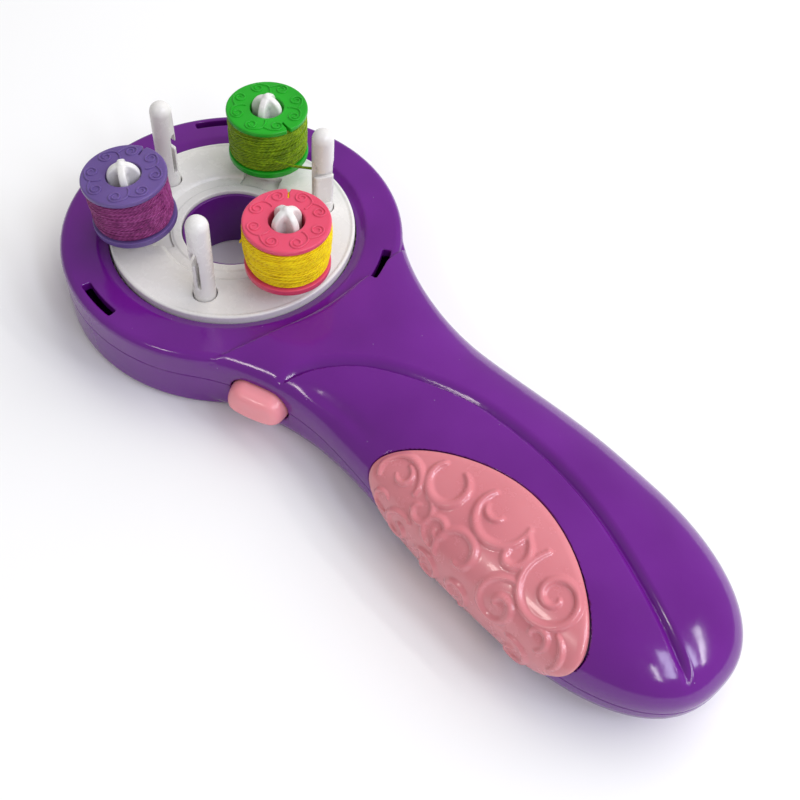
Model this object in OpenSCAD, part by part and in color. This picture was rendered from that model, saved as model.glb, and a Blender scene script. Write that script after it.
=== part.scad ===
// Hand-held knitting machine: a flat round head with a motor-driven turntable that carries three
// thread bobbins and three hook needles, and a hollow handle with a button, a motor and two cells.
// Frame: Z up, origin on the turntable's axis at table height, +X along the handle.

/* [Head] */
// Outer radius of the round head
head_r = 52.3; // [50:0.1:58]
// Height of the ring's top face
ring_top = 22.4; // [22:0.1:25]
// Thickness of the ring's roof
ring_t = 3; // [2.2:0.1:3.2]
// Rounding of the head's top outer edge
ring_edge_r = 2.5; // [1:0.1:4]
// Rounding of the head's bottom outer edge
base_edge_r = 3; // [1:0.1:4]
// Height of the joint line between the two shells
parting_z = 13.6; // [12.5:0.1:14.5]
// Wall thickness of both shells
wall = 2.4; // [1.8:0.1:2.8]
// Thickness of the floor
floor_t = 2.2; // [1.6:0.1:2.4]
// Width of the bevel round the ring's opening
bevel_w = 3.1; // [2:0.1:5]
// Depth of the bevel round the ring's opening
bevel_h = 1.9; // [1:0.1:2]
// Radial width of the cover slots in the ring
slot_w = 2.6; // [2:0.1:3.5]
// Angle that each cover slot spans
slot_span = 17; // [10:1:24]
// Distance of the slots from the head's outer edge
slot_inset = 3; // [2.8:0.1:4]

/* [Handle] */
// Distance from the battery compartment to the handle's tip
tip_room = 28.4; // [27:0.1:36]
// Half width of the neck
neck_half = 26; // [24:0.1:29]
// Half width of the grip
grip_half = 29.2; // [27:0.1:33]
// Half width towards the end, before it rounds off
end_half = 27.2; // [25:0.1:31]
// Position of the widest part of the grip
grip_x = 126; // [120:0.5:132]
// Radius of the sweep from the head into the neck
sweep_r = 68; // [60:0.5:80]
// Length of the rounded end
cap_len = 44; // [36:0.5:50]
// Rise of the shoulder above the ring
shoulder_rise = 3; // [2:0.1:4]
// Rise of the neck above the ring
neck_rise = 4.1; // [3:0.1:6]
// Rise of the grip above the ring
grip_rise = 7.1; // [6:0.1:9]
// Rise of the end above the ring, before it rounds off
end_rise = 6.1; // [5:0.1:8]
// Depth that the round belly would reach below the table, if it were not cut flat
belly_cut = 1.9; // [1:0.1:3]
// Radius of the shoulder's curved edge in plan
shoulder_r = 120; // [90:1:160]
// Distance of the shoulder's edge inside the head's outline
shoulder_inset = 8; // [7:0.1:10]

/* [Grip inlay] */
// Half length of the inlay
inlay_half = 35.2; // [28:0.1:38]
// Angle about the joint line at the middle of the inlay
inlay_mid = 27; // [22:1:32]
// Angle from the inlay's middle to its edge
inlay_reach = 58; // [45:1:59]
// Height of the inlay above the shell
inlay_proud = 0.7; // [0.3:0.1:1.2]
// Depth of the inlay's seat in the shell
inlay_seat = 1.3; // [0.8:0.1:1.4]

/* [Turntable] */
// Outer radius of the turntable's disc
disc_r = 37.2; // [36:0.1:38.5]
// Thickness of the disc
disc_t = 3; // [2.5:0.1:3.2]
// Height of the disc above the ring's top
disc_rise = 0.1; // [0:0.05:0.4]
// Gap between the disc and the ring round it
disc_gap = 0.7; // [0.4:0.05:1]
// Inner radius of the raised part of the disc
plateau_r = 22.6; // [22:0.1:23.5]
// Depth of the dish inside the raised part
dish_depth = 1.2; // [0.8:0.1:1.5]
// Outer radius of the turntable's sleeve
sleeve_r = 18.7; // [18.2:0.1:19.2]
// Radius of the bore that the knitted cord leaves through
cord_bore_r = 14.6; // [12:0.1:15]
// Wall thickness of the cord tube
cord_wall = 1; // [0.8:0.1:1.2]
// Depth of the cord tube's rim below the disc's top
cord_rim_drop = 1.9; // [1.4:0.1:2.4]

/* [Bobbins] */
// Distance of the bobbins from the turntable's axis
bobbin_orbit = 28; // [27.8:0.1:30]
// Outer radius of the bobbins
bobbin_r = 12.5; // [11.8:0.1:12.8]
// Height of the bobbins
bobbin_h = 18; // [14:0.5:22]
// Thickness of the top flange
flange_top_t = 1.6; // [1:0.1:2.4]
// Thickness of the bottom flange
flange_low_t = 2.2; // [1:0.1:3]
// Bore radius of the bobbins
bobbin_bore_r = 5.15; // [5:0.05:6]
// Wall thickness of the bobbin's barrel
barrel_t = 1.2; // [0.8:0.1:2]
// Height of the pedestal under each bobbin
pedestal_h = 5.8; // [4:0.1:8]
// Radius of the pedestal
pedestal_r = 6.5; // [5.8:0.1:7.5]
// Radius across a spindle's ribs
spindle_r = 4.8; // [4.2:0.05:4.8]
// Thickness of a spindle's ribs
rib_t = 2.2; // [1.4:0.1:2.8]
// Lean of the third spindle away from the axis
spindle_lean = 4; // [0:0.5:5]

/* [Windings] */
// Diameter of the wound thread bundle
thread_d = 0.9; // [0.7:0.05:0.95]
// Number of turns that show on each bobbin
thread_turns = 9; // [6:1:9]

/* [Needles] */
// Distance of the needles from the turntable's axis
needle_orbit = 28.6; // [28:0.1:29.1]
// Radius of the needles
needle_r = 3.3; // [2.9:0.1:3.4]
// Height of the needle tips above the table
needle_top = 52.7; // [48:0.1:58]
// Radial clearance of the needles in the disc
needle_gap = 0.35; // [0.3:0.05:0.6]
// Travel of the needles
needle_travel = 11; // [8:0.5:11]
// Width of the slit through each needle
needle_slit = 1.15; // [0.8:0.05:1.4]

/* [Drive] */
// Tooth module of every gear
gear_module = 1; // [0.98:0.01:1.02]
// Teeth of the gear under the turntable
drive_teeth = 76; // [74:1:76]
// Teeth of the idler
idler_teeth = 20; // [18:1:22]
// Teeth of the compound gear's small wheel
small_teeth = 12; // [11:1:13]
// Teeth of the compound gear's large wheel
large_teeth = 28; // [26:1:28]
// Teeth of the motor pinion
pinion_teeth = 10; // [10:1:12]
// Face width of the gears
face_w = 3; // [2:0.1:3]
// Radius of the steel pins and the motor shaft
pin_r = 1; // [0.8:0.05:1.2]
// Radius of the motor's can
motor_r = 12.2; // [10:0.1:12.4]
// Height of the motor's can
motor_h = 12.3; // [9:0.1:12.3]

/* [Button] */
// Length of the push button along the wall
button_len = 18; // [14:0.1:20]
// Height of the push button
button_h = 10.4; // [8:0.1:11]
// How far the button stands out of the wall
button_out = 6; // [4:0.1:7]
// Travel of the button
button_travel = 2.5; // [1.5:0.1:3]
// Direction that the button faces, in plan
button_dir = -68; // [-72:1:-64]

/* [Power] */
// Diameter of a cell
cell_d = 14.5; // [13.5:0.1:14.5]
// Length of a cell
cell_len = 50.5; // [44.5:0.1:50.5]
// Thickness of the battery door
door_t = 2; // [1.4:0.1:2]
// Thickness of the contact plates
contact_t = 0.5; // [0.3:0.1:0.8]
// Distance from the motor's can to the battery compartment
motor_room = 5.75; // [5:0.05:12]

/* [Hidden] */
$fn = 64;
head_fn = 84;

// Colours
PURPLE = "#74359a";
PINK = "#e6939b";
BUTTON_PINK = "#ffa9ae";
WHITE = "#ebe8e6";
STEEL = "#b8b8bc";
FLANGE_COLOURS = ["#f2607f", "#2fb52f", "#77609b"];
THREAD_COLOURS = ["#f2d600", "#6e8c00", "#8b3a78"];

// Clearances
eps = 0.01;
hair = 0.05;
run_gap = 0.05;
seat_gap = 0.3;
slide_gap = 0.1;
fit_gap = 0.35;

// Taller than the whole machine, for cuts that pass right through
through = 60;

// Angles of the repeated parts
bobbin_angles = [-2, 118, 238];
needle_angles = [66.4, 186.4, 306.4];
slot_angles = [-91, 29, 149];
leans = [0, 0, spindle_lean];

// Levels of the stack in the head
ring_under = ring_top - ring_t;
disc_top = ring_top + disc_rise;
disc_under = disc_top - disc_t;
gear_web_t = 1.5;
teeth_top = disc_under - gear_web_t;
teeth_low = teeth_top - face_w;
flange_t = 1.8;
sleeve_low = floor_t + flange_t + seat_gap;
carrier_t = 2;
carrier_low = floor_t + 0.8 + needle_travel;
carrier_top = carrier_low + carrier_t;
bobbin_low = disc_top + pedestal_h + seat_gap;
bobbin_top = bobbin_low + bobbin_h;

// Radii in the head
opening_r = disc_r + disc_gap;
tube_r = cord_bore_r + cord_wall;
sleeve_bore_r = tube_r + slide_gap;
slot_r = head_r - slot_inset - slot_w / 2;
gear_seat_r = drive_teeth * gear_module / 2 - 5;
boss_r = 3.8;
boss_ring_r = head_r - wall - boss_r - 0.6;

// Gear tooth proportions, as multiples of the module
tooth_add = 0.8;
tooth_ded = 1.15;
tooth_tip_half = 0.35;
tooth_root_half = 0.85;
backlash = 0.15;
function pitch_r(teeth) = gear_module * teeth / 2;
function centres(a, b) = pitch_r(a) + pitch_r(b) + backlash;
function mesh_phase(a, b, phase_a) = 180 - a / b * phase_a - 180 / b;
idler_x = centres(drive_teeth, idler_teeth);
compound_x = idler_x + centres(idler_teeth, small_teeth);
motor_x = compound_x + centres(large_teeth, pinion_teeth);
idler_phase = mesh_phase(drive_teeth, idler_teeth, 0);
small_phase = mesh_phase(idler_teeth, small_teeth, idler_phase);
pinion_phase = mesh_phase(large_teeth, pinion_teeth, 0);
large_low = teeth_top + 0.5;
large_t = face_w - 0.2;
large_top = large_low + large_t;
motor_low = floor_t + 0.4;
motor_top = motor_low + motor_h;
shaft_in = 4;
cup_t = 1.8;
pin_top = large_top + 1;

// Battery compartment, behind the motor, which sets how far the handle reaches
contact_reach = 2.25;
bay_x = motor_x + motor_r + motor_room;
bay_end_x = bay_x + cell_len + 2 * contact_reach + 2 * contact_t;
handle_reach = bay_end_x + tip_room;
bay_wall = 1.8;
bay_lap = 3;
cell_y = cell_d / 2 + 0.35;
cell_z = door_t + seat_gap + cell_d / 2;
door_half = cell_y + cell_d / 2 + 0.2;
door_gap = 0.2;
door_screw_x = bay_end_x + 3.6;
tab_half = 4.5;
tab_end_x = door_screw_x + 3.6;
clip_y = 8;
clip_half = 3;

// Handle outline
sweep_x = sqrt(pow(head_r + sweep_r, 2) - pow(neck_half + sweep_r, 2));
loft_x = sweep_x * head_r / (head_r + sweep_r) + 1.4;
cap_x = handle_reach - cap_len;
cap_plan_n = 2.3;
cap_side_n = 2.6;
shoulder_x = head_r - shoulder_inset - shoulder_r;
shoulder_y = 4;
belly_h = parting_z + belly_cut;

// Fasteners
screw_r = 1.2;
head_screw_r = 2.6;
head_seat = 4;
handle_seat = 6.5;
function screw_seat(p) = norm(p) < head_r ? head_seat : handle_seat;
screw_reach = 6;
boss_places = concat([for (a = [62, 120, 210, 300]) boss_ring_r * [cos(a), sin(a)]],
  [[bay_x + 6, neck_half - 6], [bay_x + 6, 6 - neck_half], [handle_reach - 14.5, 0]]);

// Button
button_pos = [51.3 + head_r - 52.3, -30.5, parting_z - 0.8];
button_flange_t = 1;
button_stem_r = 1.5;
button_flange_z = -(wall + 1.9);
switch_z = button_flange_z - button_travel - 1.6;
switch_deep = 6;

// Shapes in plan and section ---------------------------------------------------------------

function smooth(t) = let(c = min(max(t, 0), 1)) c * c * (3 - 2 * c);
function mix(a, b, t) = a + (b - a) * t;
function signed_pow(v, e) = sign(v) * pow(abs(v), e);

// Fade to zero over the rounded end, on a superellipse of power n
function end_fade(x, n, inset) =
  let(t = (x - cap_x) / (cap_len - inset))
  t <= 0 ? 1 : t >= 1 ? 0 : pow(1 - pow(t, n), 1 / n);

function sweep_half(x) = neck_half + sweep_r - sqrt(pow(sweep_r, 2) - pow(x - sweep_x, 2));
function plan_half(x) =
  x < sweep_x ? sweep_half(x)
  : x < grip_x ? mix(neck_half, grip_half, smooth((x - sweep_x) / (grip_x - sweep_x)))
  : mix(grip_half, end_half, smooth((x - grip_x) / (handle_reach - grip_x)));
function half_w(x, inset) = (plan_half(x) - inset) * end_fade(x, cap_plan_n, inset);

crest = [[head_r - shoulder_inset, shoulder_rise], [78, neck_rise], [grip_x, grip_rise],
  [handle_reach, end_rise]];
function crown(x, inset) =
  (ring_top + lookup(x, crest) - parting_z - inset) * end_fade(x, cap_side_n, inset);
function belly(x, inset) = (belly_h - inset) * end_fade(x, cap_side_n, inset);

// Section powers: squarer at the head, rounder along the grip
function crown_n(x) = mix(4.5, 2.35, smooth((x - 40) / 45));
function belly_n(x) = mix(5, 2.6, smooth((x - 40) / 55));

section_steps = 16;
function section(x, inset) = [for (i = [0:2 * section_steps - 1])
  let(a = 180 * i / section_steps, up = a <= 180, e = 2 / (up ? crown_n(x) : belly_n(x)),
    h = up ? crown(x, inset) : belly(x, inset))
  [x, -half_w(x, inset) * signed_pow(cos(a), e), parting_z + h * signed_pow(sin(a), e)]];

// Stations along the handle: close together on the sweep and the rounded end
function stations(inset) = concat(
  [for (i = [0:6]) mix(loft_x, sweep_x, i / 6)],
  [for (i = [1:4]) mix(sweep_x, cap_x, i / 4)],
  [for (a = [14:13:79]) cap_x + (cap_len - inset) * sin(a)],
  [cap_x + (cap_len - inset) * sin(86)]);

module loft(sections) {
  k = len(sections[0]);
  last = (len(sections) - 1) * k;
  polyhedron(points = [for (s = sections) for (p = s) p],
    faces = concat(
      [[for (j = [k - 1:-1:0]) j]],
      [for (i = [0:len(sections) - 2]) for (j = [0:k - 1]) let(a = i * k + j, b = i * k + (j + 1) % k)
        each [[a, b, b + k], [a, b + k, a + k]]],
      [[for (j = [0:k - 1]) last + j]]));
}

module handle_loft(inset) {
  loft([for (x = stations(inset)) section(x, inset)]);
}

// Everything above a level on the head's side of the shoulder's edge
module shoulder_cut(grow, low) {
  translate([shoulder_x, shoulder_y, low]) cylinder(r = shoulder_r + grow, h = through, $fn = 240);
}

// All space above a level, or below it
module above(z) {
  translate([-100, -100, z]) cube([400, 200, 100]);
}

module below(z) {
  translate([-100, -100, z - 100]) cube([400, 200, 100]);
}

module ring_slice(r, r2, low, high) {
  translate([0, 0, low]) difference() {
    cylinder(r = r2, h = high - low);
    translate([0, 0, -1]) cylinder(r = r, h = high - low + 2);
  }
}

module slot(a) {
  rotate([0, 0, a - slot_span / 2]) rotate_extrude(angle = slot_span)
    translate([slot_r - slot_w / 2, ring_under - 1]) square([slot_w, ring_t + 2]);
}

// Grip inlay -------------------------------------------------------------------------------

// A point on the shell's near side: t is the angle about the joint line, positive upwards
function skin_point(x, t, grow) =
  let(up = t >= 0, e = 2 / (up ? crown_n(x) : belly_n(x)), h = (up ? crown(x, 0) : belly(x, 0)))
  [x, -(half_w(x, 0) + grow) * pow(cos(t), e),
    parting_z + (h + grow) * signed_pow(sin(t), e)];

// A closed patch that lies along the skin between two depths
module skin_patch(low, high, margin) {
  columns = 18;
  rows = 10;
  half = inlay_half + margin;
  reach = inlay_reach + margin * 2;
  function layer(grow) = [for (i = [0:columns]) for (j = [0:rows])
    let(a = 180 * i / columns, s = max(sin(a), 0.07))
    skin_point(grip_x - half * cos(a), inlay_mid + reach * s * (2 * j / rows - 1), grow)];
  n = (columns + 1) * (rows + 1);
  function at(i, j, l) = l * n + i * (rows + 1) + j;
  function quad(a, b, c, d) = [[a, b, c], [a, c, d]];
  polyhedron(points = concat(layer(high), layer(low)),
    faces = concat(
      [for (i = [0:columns - 1]) for (j = [0:rows - 1])
        each quad(at(i, j, 0), at(i, j + 1, 0), at(i + 1, j + 1, 0), at(i + 1, j, 0))],
      [for (i = [0:columns - 1]) for (j = [0:rows - 1])
        each quad(at(i, j, 1), at(i + 1, j, 1), at(i + 1, j + 1, 1), at(i, j + 1, 1))],
      [for (i = [0:columns - 1]) for (j = [0, rows])
        each j == 0 ? quad(at(i, 0, 0), at(i + 1, 0, 0), at(i + 1, 0, 1), at(i, 0, 1))
          : quad(at(i, rows, 1), at(i + 1, rows, 1), at(i + 1, rows, 0), at(i, rows, 0))],
      [for (j = [0:rows - 1]) for (i = [0, columns])
        each i == 0 ? quad(at(0, j, 1), at(0, j + 1, 1), at(0, j + 1, 0), at(0, j, 0))
          : quad(at(columns, j, 0), at(columns, j + 1, 0), at(columns, j + 1, 1), at(columns, j, 1))]));
}

module grip_inlay() {
  color(PINK) skin_patch(-inlay_seat, inlay_proud, 0);
}

module inlay_seat_cut() {
  skin_patch(-inlay_seat - 0.1, 3, seat_gap);
}

// Button -----------------------------------------------------------------------------------

// Local +Z points out of the wall, local Y lies along it
module at_button() {
  translate(button_pos) rotate([0, 0, button_dir]) rotate([0, 90, 0]) children();
}

module pill(length, height, low, high) {
  translate([0, 0, low]) linear_extrude(high - low) {
    square([height, length - height], center = true);
    for (s = [-1, 1]) translate([0, s * (length - height) / 2]) circle(d = height);
  }
}

module button_hole() {
  at_button() pill(button_len + 2 * fit_gap, button_h + 2 * fit_gap, -12, 12);
}

module push_button() {
  color(BUTTON_PINK) at_button() {
    hull() {
      pill(button_len, button_h, -1, button_out - 3.4, $fn = 32);
      translate([1.4, 0, 0]) pill(button_len - 2.6, button_h - 5, 0, button_out, $fn = 32);
    }
    pill(button_len, button_h, button_flange_z, -1 + eps);
    pill(button_len + 2.4, button_h + 2.4, button_flange_z - button_flange_t, button_flange_z);
    translate([0, 0, switch_z - 2]) cylinder(r = button_stem_r, h = button_flange_z - switch_z + 2);
  }
}

module power_switch() {
  color("#2b2b30") difference() {
    translate([button_pos[0], button_pos[1], 0]) rotate([0, 0, button_dir])
      translate([switch_z - switch_deep, -5, floor_t]) cube([switch_deep, 10, button_pos[2] + 3]);
    at_button() translate([0, 0, switch_z - 5]) cylinder(r = button_stem_r + run_gap, h = 6);
  }
}

// Shells -----------------------------------------------------------------------------------

module head_solid() {
  rim = head_r - ring_edge_r;
  foot = head_r - base_edge_r;
  rotate_extrude($fn = head_fn) polygon(concat(
    [[0, -1], [foot, -1]],
    [for (a = [-90:30:0]) [foot + base_edge_r * cos(a), base_edge_r + base_edge_r * sin(a)]],
    [for (a = [0:30:90]) [rim + ring_edge_r * cos(a), ring_top - ring_edge_r + ring_edge_r * sin(a)]],
    [[0, ring_top]]));
}

// Outer form of the case, both shells together
module case_form() {
  intersection() {
    union() {
      head_solid();
      difference() {
        handle_loft(0);
        shoulder_cut(0, ring_top - hair);
      }
    }
    above(0);
  }
}

// The room inside the case
module case_room() {
  intersection() {
    union() {
      translate([0, 0, -1]) cylinder(r = head_r - wall, h = ring_under + 1, $fn = head_fn);
      difference() {
        handle_loft(wall);
        shoulder_cut(wall, ring_under - hair);
      }
    }
    above(floor_t);
  }
}

module ring_opening() {
  translate([0, 0, ring_under - 1]) cylinder(r = opening_r, h = ring_t + 2, $fn = head_fn);
  translate([0, 0, ring_top - bevel_h])
    cylinder(r1 = opening_r, r2 = opening_r + bevel_w * 1.05, h = bevel_h * 1.05, $fn = head_fn);
}

// A stiffening rib from a boss out to the wall
module rib(from, to, low, high) {
  translate([0, 0, low]) linear_extrude(high - low) hull() {
    translate(from) circle(r = 0.7, $fn = 8);
    translate(to) circle(r = 0.7, $fn = 8);
  }
}

function wall_point(p) = norm(p) < head_r ? p * (head_r - 1.2) / norm(p)
  : p[1] == 0 ? [handle_reach - 3.5, 0] : [p[0], sign(p[1]) * (plan_half(p[0]) - 1.2)];

// Screw bosses, their ribs and the stiffeners, sunk a little into the walls
module case_bosses() {
  for (p = boss_places) translate([p[0], p[1], 1])
    cylinder(r = boss_r, h = norm(p) < head_r ? ring_under - 0.5 : 40, $fn = 16);
  for (p = boss_places) rib(p, wall_point(p), 1, parting_z - 4);
  for (p = boss_places) rib(p, wall_point(p), parting_z + 1, parting_z + 5);
}

module case_holes() {
  for (p = boss_places) translate([p[0], p[1], -1]) {
    cylinder(r = head_screw_r + fit_gap, h = screw_seat(p) + 1, $fn = 20);
    cylinder(r = screw_r + 0.3, h = parting_z + 1.2, $fn = 12);
    cylinder(r = screw_r + 0.1, h = parting_z + screw_reach + 1.5, $fn = 12);
  }
  button_hole();
  inlay_seat_cut();
  at_button() pill(button_len + 4.4, button_h + 4, button_flange_z - 8, -wall - 0.6, $fn = 24);
}

// Rooms and ledges that only the lower shell has
module lower_fittings() {
  for (s = [-1, 1])
    rib([motor_x, s * (motor_r + 1)], [motor_x, s * (neck_half - 1)], 1, parting_z - 4);
  translate([motor_x, 0, 1]) difference() {
    cylinder(r = motor_r + cup_t, h = parting_z - 5, $fn = 32);
    translate([0, 0, -2]) cylinder(r = motor_r + fit_gap, h = through, $fn = 32);
  }
  translate([motor_x, 0, 1]) cylinder(r = motor_r - 3, h = motor_low - 1, $fn = 24);
  for (x = [bay_x - bay_wall, bay_end_x]) translate([x, -door_half - bay_lap, 1])
    cube([bay_wall, 2 * (door_half + bay_lap), parting_z - 2]);
  translate([bay_end_x + 1, -tab_half - 2, 1])
    cube([tab_end_x - bay_end_x + 1, 2 * (tab_half + 2), floor_t + 1]);
  translate([door_screw_x, 0, 1]) cylinder(r = 3.4, h = 9, $fn = 16);
}

module lower_holes() {
  translate([0, 0, -1]) cylinder(r = tube_r + slide_gap, h = parting_z, $fn = head_fn);
  translate([bay_x, -door_half - door_gap, -1])
    cube([bay_end_x - bay_x, 2 * (door_half + door_gap), parting_z + 5]);
  translate([bay_end_x - 1, -tab_half - door_gap, -1])
    cube([tab_end_x - bay_end_x + 1 + door_gap, 2 * (tab_half + door_gap), floor_t + 1]);
  for (s = [-1, 1]) translate([bay_x - bay_wall - 1, s * clip_y - clip_half - seat_gap, floor_t - 0.2])
    cube([bay_wall + 2, 2 * (clip_half + seat_gap), 1.7]);
  translate([door_screw_x, 0, 1]) cylinder(r = 1.1, h = 8.2, $fn = 12);
  for (x = [idler_x, compound_x]) translate([x, 0, floor_t]) cylinder(r = pin_r + 0.05, h = 30, $fn = 16);
}

module upper_shell() {
  color(PURPLE) intersection() {
    difference() {
      union() {
        difference() {
          case_form();
          case_room();
          ring_opening();
          for (a = slot_angles) slot(a);
        }
        intersection() {
          case_bosses();
          union() {
            translate([0, 0, -2]) cylinder(r = head_r - 1, h = ring_under + 2.5, $fn = 48);
            handle_loft(1);
          }
        }
      }
      case_holes();
    }
    above(parting_z);
  }
}

module lower_shell() {
  color(PURPLE) difference() {
    union() {
      intersection() {
        difference() {
          case_form();
          case_room();
        }
        below(parting_z);
      }
      intersection() {
        union() {
          case_bosses();
          lower_fittings();
        }
        union() {
          translate([0, 0, -2]) cylinder(r = head_r - 1, h = 40, $fn = 48);
          handle_loft(1);
        }
        below(parting_z);
      }
      for (x = [idler_x, compound_x]) translate([x, 0, 1])
        cylinder(r = 3.2, h = teeth_low - seat_gap - 1, $fn = 16);
    }
    case_holes();
    lower_holes();
  }
}

module cord_tube() {
  color(PURPLE) rotate_extrude($fn = 96) polygon([[cord_bore_r, seat_gap], [tube_r, seat_gap],
    [tube_r, floor_t], [sleeve_r - 0.9, floor_t], [sleeve_r - 0.9, floor_t + flange_t],
    [tube_r, floor_t + flange_t], [tube_r, disc_top - cord_rim_drop],
    [cord_bore_r, disc_top - cord_rim_drop]]);
}

// Turntable --------------------------------------------------------------------------------

dish_z = disc_top - dish_depth;

module turntable() {
  color(WHITE) {
    difference() {
      rotate_extrude($fn = 96) polygon([[sleeve_bore_r, sleeve_low], [sleeve_r, sleeve_low],
        [sleeve_r, disc_under], [disc_r, disc_under], [disc_r, disc_top - 0.5],
        [disc_r - 0.5, disc_top + 0.2], [disc_r - 1.2, disc_top], [plateau_r, disc_top],
        [plateau_r - 1.2, dish_z], [sleeve_r + 0.3, dish_z], [sleeve_r, dish_z - 0.3],
        [sleeve_r - 0.3, dish_z], [sleeve_r - 1.2, dish_z + 0.3], [sleeve_bore_r + 0.5, dish_z + 0.2],
        [sleeve_bore_r, dish_z - 0.3]]);
      for (a = needle_angles) rotate([0, 0, a]) translate([needle_orbit, 0, disc_under - 1])
        cylinder(r = needle_r + needle_gap, h = disc_t + 3);
      for (a = bobbin_angles) rotate([0, 0, a]) {
        translate([bobbin_orbit, 0, disc_under - 1]) cylinder(r = 3, h = disc_t + 3);
        translate([sleeve_r + 0.5, -6, disc_top - 1.8]) cube([5.2, 12, 3]);
      }
    }
    for (a = needle_angles) rotate([0, 0, a + 20]) translate([gear_seat_r + 2, 0, teeth_low + 1])
      cylinder(r = 1.2, h = disc_under - teeth_low - 1);
  }
}

function gear_points(teeth, phase) = [for (i = [0:teeth - 1]) let(
    root = pitch_r(teeth) - tooth_ded * gear_module, tip = pitch_r(teeth) + tooth_add * gear_module,
    a = phase + 360 * i / teeth, wr = tooth_root_half * gear_module / root * 180 / PI,
    wt = tooth_tip_half * gear_module / tip * 180 / PI)
  each [root * [cos(a - wr), sin(a - wr)], tip * [cos(a - wt), sin(a - wt)],
    tip * [cos(a + wt), sin(a + wt)], root * [cos(a + wr), sin(a + wr)]]];

module gear(teeth, phase, height, bore) {
  linear_extrude(height) difference() {
    polygon(gear_points(teeth, phase));
    circle(r = bore);
  }
}

module drive_gear() {
  color("#d9d4cc") difference() {
    union() {
      translate([0, 0, teeth_low]) gear(drive_teeth, 0, face_w, gear_seat_r);
      ring_slice(gear_seat_r, gear_seat_r + 4, teeth_top, disc_under);
    }
    for (a = needle_angles) rotate([0, 0, a + 20]) translate([gear_seat_r + 2, 0, teeth_low - 1])
      cylinder(r = 1.3, h = face_w + gear_web_t + 2);
  }
}

// Bobbins and spindles ---------------------------------------------------------------------

// Places a bobbin's parts with Z on the spindle's axis and zero at the disc's top
module at_spindle(k) {
  rotate([0, 0, bobbin_angles[k]]) translate([bobbin_orbit, 0, disc_top])
    rotate([0, leans[k], 0]) children();
}

spindle_dome = spindle_r;
spindle_top = pedestal_h + seat_gap + bobbin_h + 4;

module spindle(k) {
  color(WHITE) {
    difference() {
      at_spindle(k) {
        translate([0, 0, -1]) cylinder(r = pedestal_r, h = pedestal_h + 1);
        intersection() {
          for (a = [0, 90]) rotate([0, 0, a]) translate([-spindle_r - 1, -rib_t / 2, 0])
            cube([2 * spindle_r + 2, rib_t, spindle_top]);
          union() {
            cylinder(r = spindle_r, h = spindle_top - spindle_dome);
            translate([0, 0, spindle_top - spindle_dome]) sphere(r = spindle_dome);
          }
        }
        cylinder(r = 1, h = spindle_top + 0.9);
      }
      below(disc_top);
    }
    rotate([0, 0, bobbin_angles[k]]) translate([bobbin_orbit, 0, disc_under - 1])
      cylinder(r = 2.9, h = disc_t + 1 + eps);
  }
}

bobbin_z = bobbin_low - disc_top;
wound_low = flange_low_t;
wound_high = bobbin_h - flange_top_t;

module bobbin(k) {
  color(FLANGE_COLOURS[k]) at_spindle(k) translate([0, 0, bobbin_z]) {
    barrel_r = bobbin_bore_r + barrel_t;
    rotate_extrude($fn = 64) polygon([[bobbin_bore_r, 0], [bobbin_r - 0.4, 0], [bobbin_r, 0.4],
      [bobbin_r, wound_low - 0.3], [bobbin_r - 0.3, wound_low], [barrel_r, wound_low],
      [barrel_r, wound_high], [bobbin_r - 0.3, wound_high], [bobbin_r, wound_high + 0.3],
      [bobbin_r, bobbin_h - 0.5], [bobbin_r - 0.5, bobbin_h], [bobbin_bore_r, bobbin_h]]);
  }
}

// Outer radius of each winding at its bottom, middle and top, from the flange's edge
wound_edges = [[-1, 0.1, -0.1], [-0.5, -0.3, -0.4], [-0.8, -0.6, -0.7]];
function wound_r(k, t) =
  let(e = wound_edges[k], low = e[0], mid = e[1], high = e[2])
  bobbin_r + low * (1 - t) * (1 - 2 * t) + 4 * mid * t * (1 - t) + high * t * (2 * t - 1);

turn_steps = 24;
thread_margin = thread_d / 2 + 0.22;
wind_low = wound_low + thread_margin;
wind_high = wound_high - thread_margin;

// Centre line of a winding: an even helix between the flanges, with straight ends
function wind_point(k, t) = let(a = 360 * thread_turns * t, r = wound_r(k, t) - thread_d / 2)
  [r * cos(a), r * sin(a), mix(wind_low, wind_high, t)];
function wind_radial(t) = let(a = 360 * thread_turns * t) [cos(a), sin(a), 0];
function wind_tangent(t) = let(a = 360 * thread_turns * t) [-sin(a), cos(a), 0];
function wind_path(k) = let(n = thread_turns * turn_steps) concat(
  [[wind_point(k, 0) - thread_d * wind_tangent(0), wind_radial(0)]],
  [for (i = [0:n]) [wind_point(k, i / n), wind_radial(i / n)]],
  [[wind_point(k, 1) + thread_d * wind_tangent(1), wind_radial(1)]]);
function wind_gap(k) = let(path = wind_path(k), n = thread_turns * turn_steps)
  min([for (i = [1:n + 1 - turn_steps]) norm(path[i + turn_steps][0] - path[i][0])]) - thread_d;

module winding(k) {
  path = wind_path(k);
  sides = 6;
  last = (len(path) - 1) * sides;
  echo("least gap between turns", k + 1, wind_gap(k));
  color(THREAD_COLOURS[k]) at_spindle(k) translate([0, 0, bobbin_z]) polyhedron(
    points = [for (p = path) for (j = [0:sides - 1]) let(a = 360 * j / sides)
      p[0] + thread_d / 2 * (cos(a) * p[1] + sin(a) * [0, 0, 1])],
    faces = concat(
      [for (j = [1:sides - 2]) [0, j + 1, j]],
      [for (i = [0:len(path) - 2]) for (j = [0:sides - 1])
        let(a = i * sides + j, b = i * sides + (j + 1) % sides)
        each [[a, b + sides, a + sides], [a, b, b + sides]]],
      [for (j = [1:sides - 2]) [last, last + j, last + j + 1]]));
}

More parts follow.
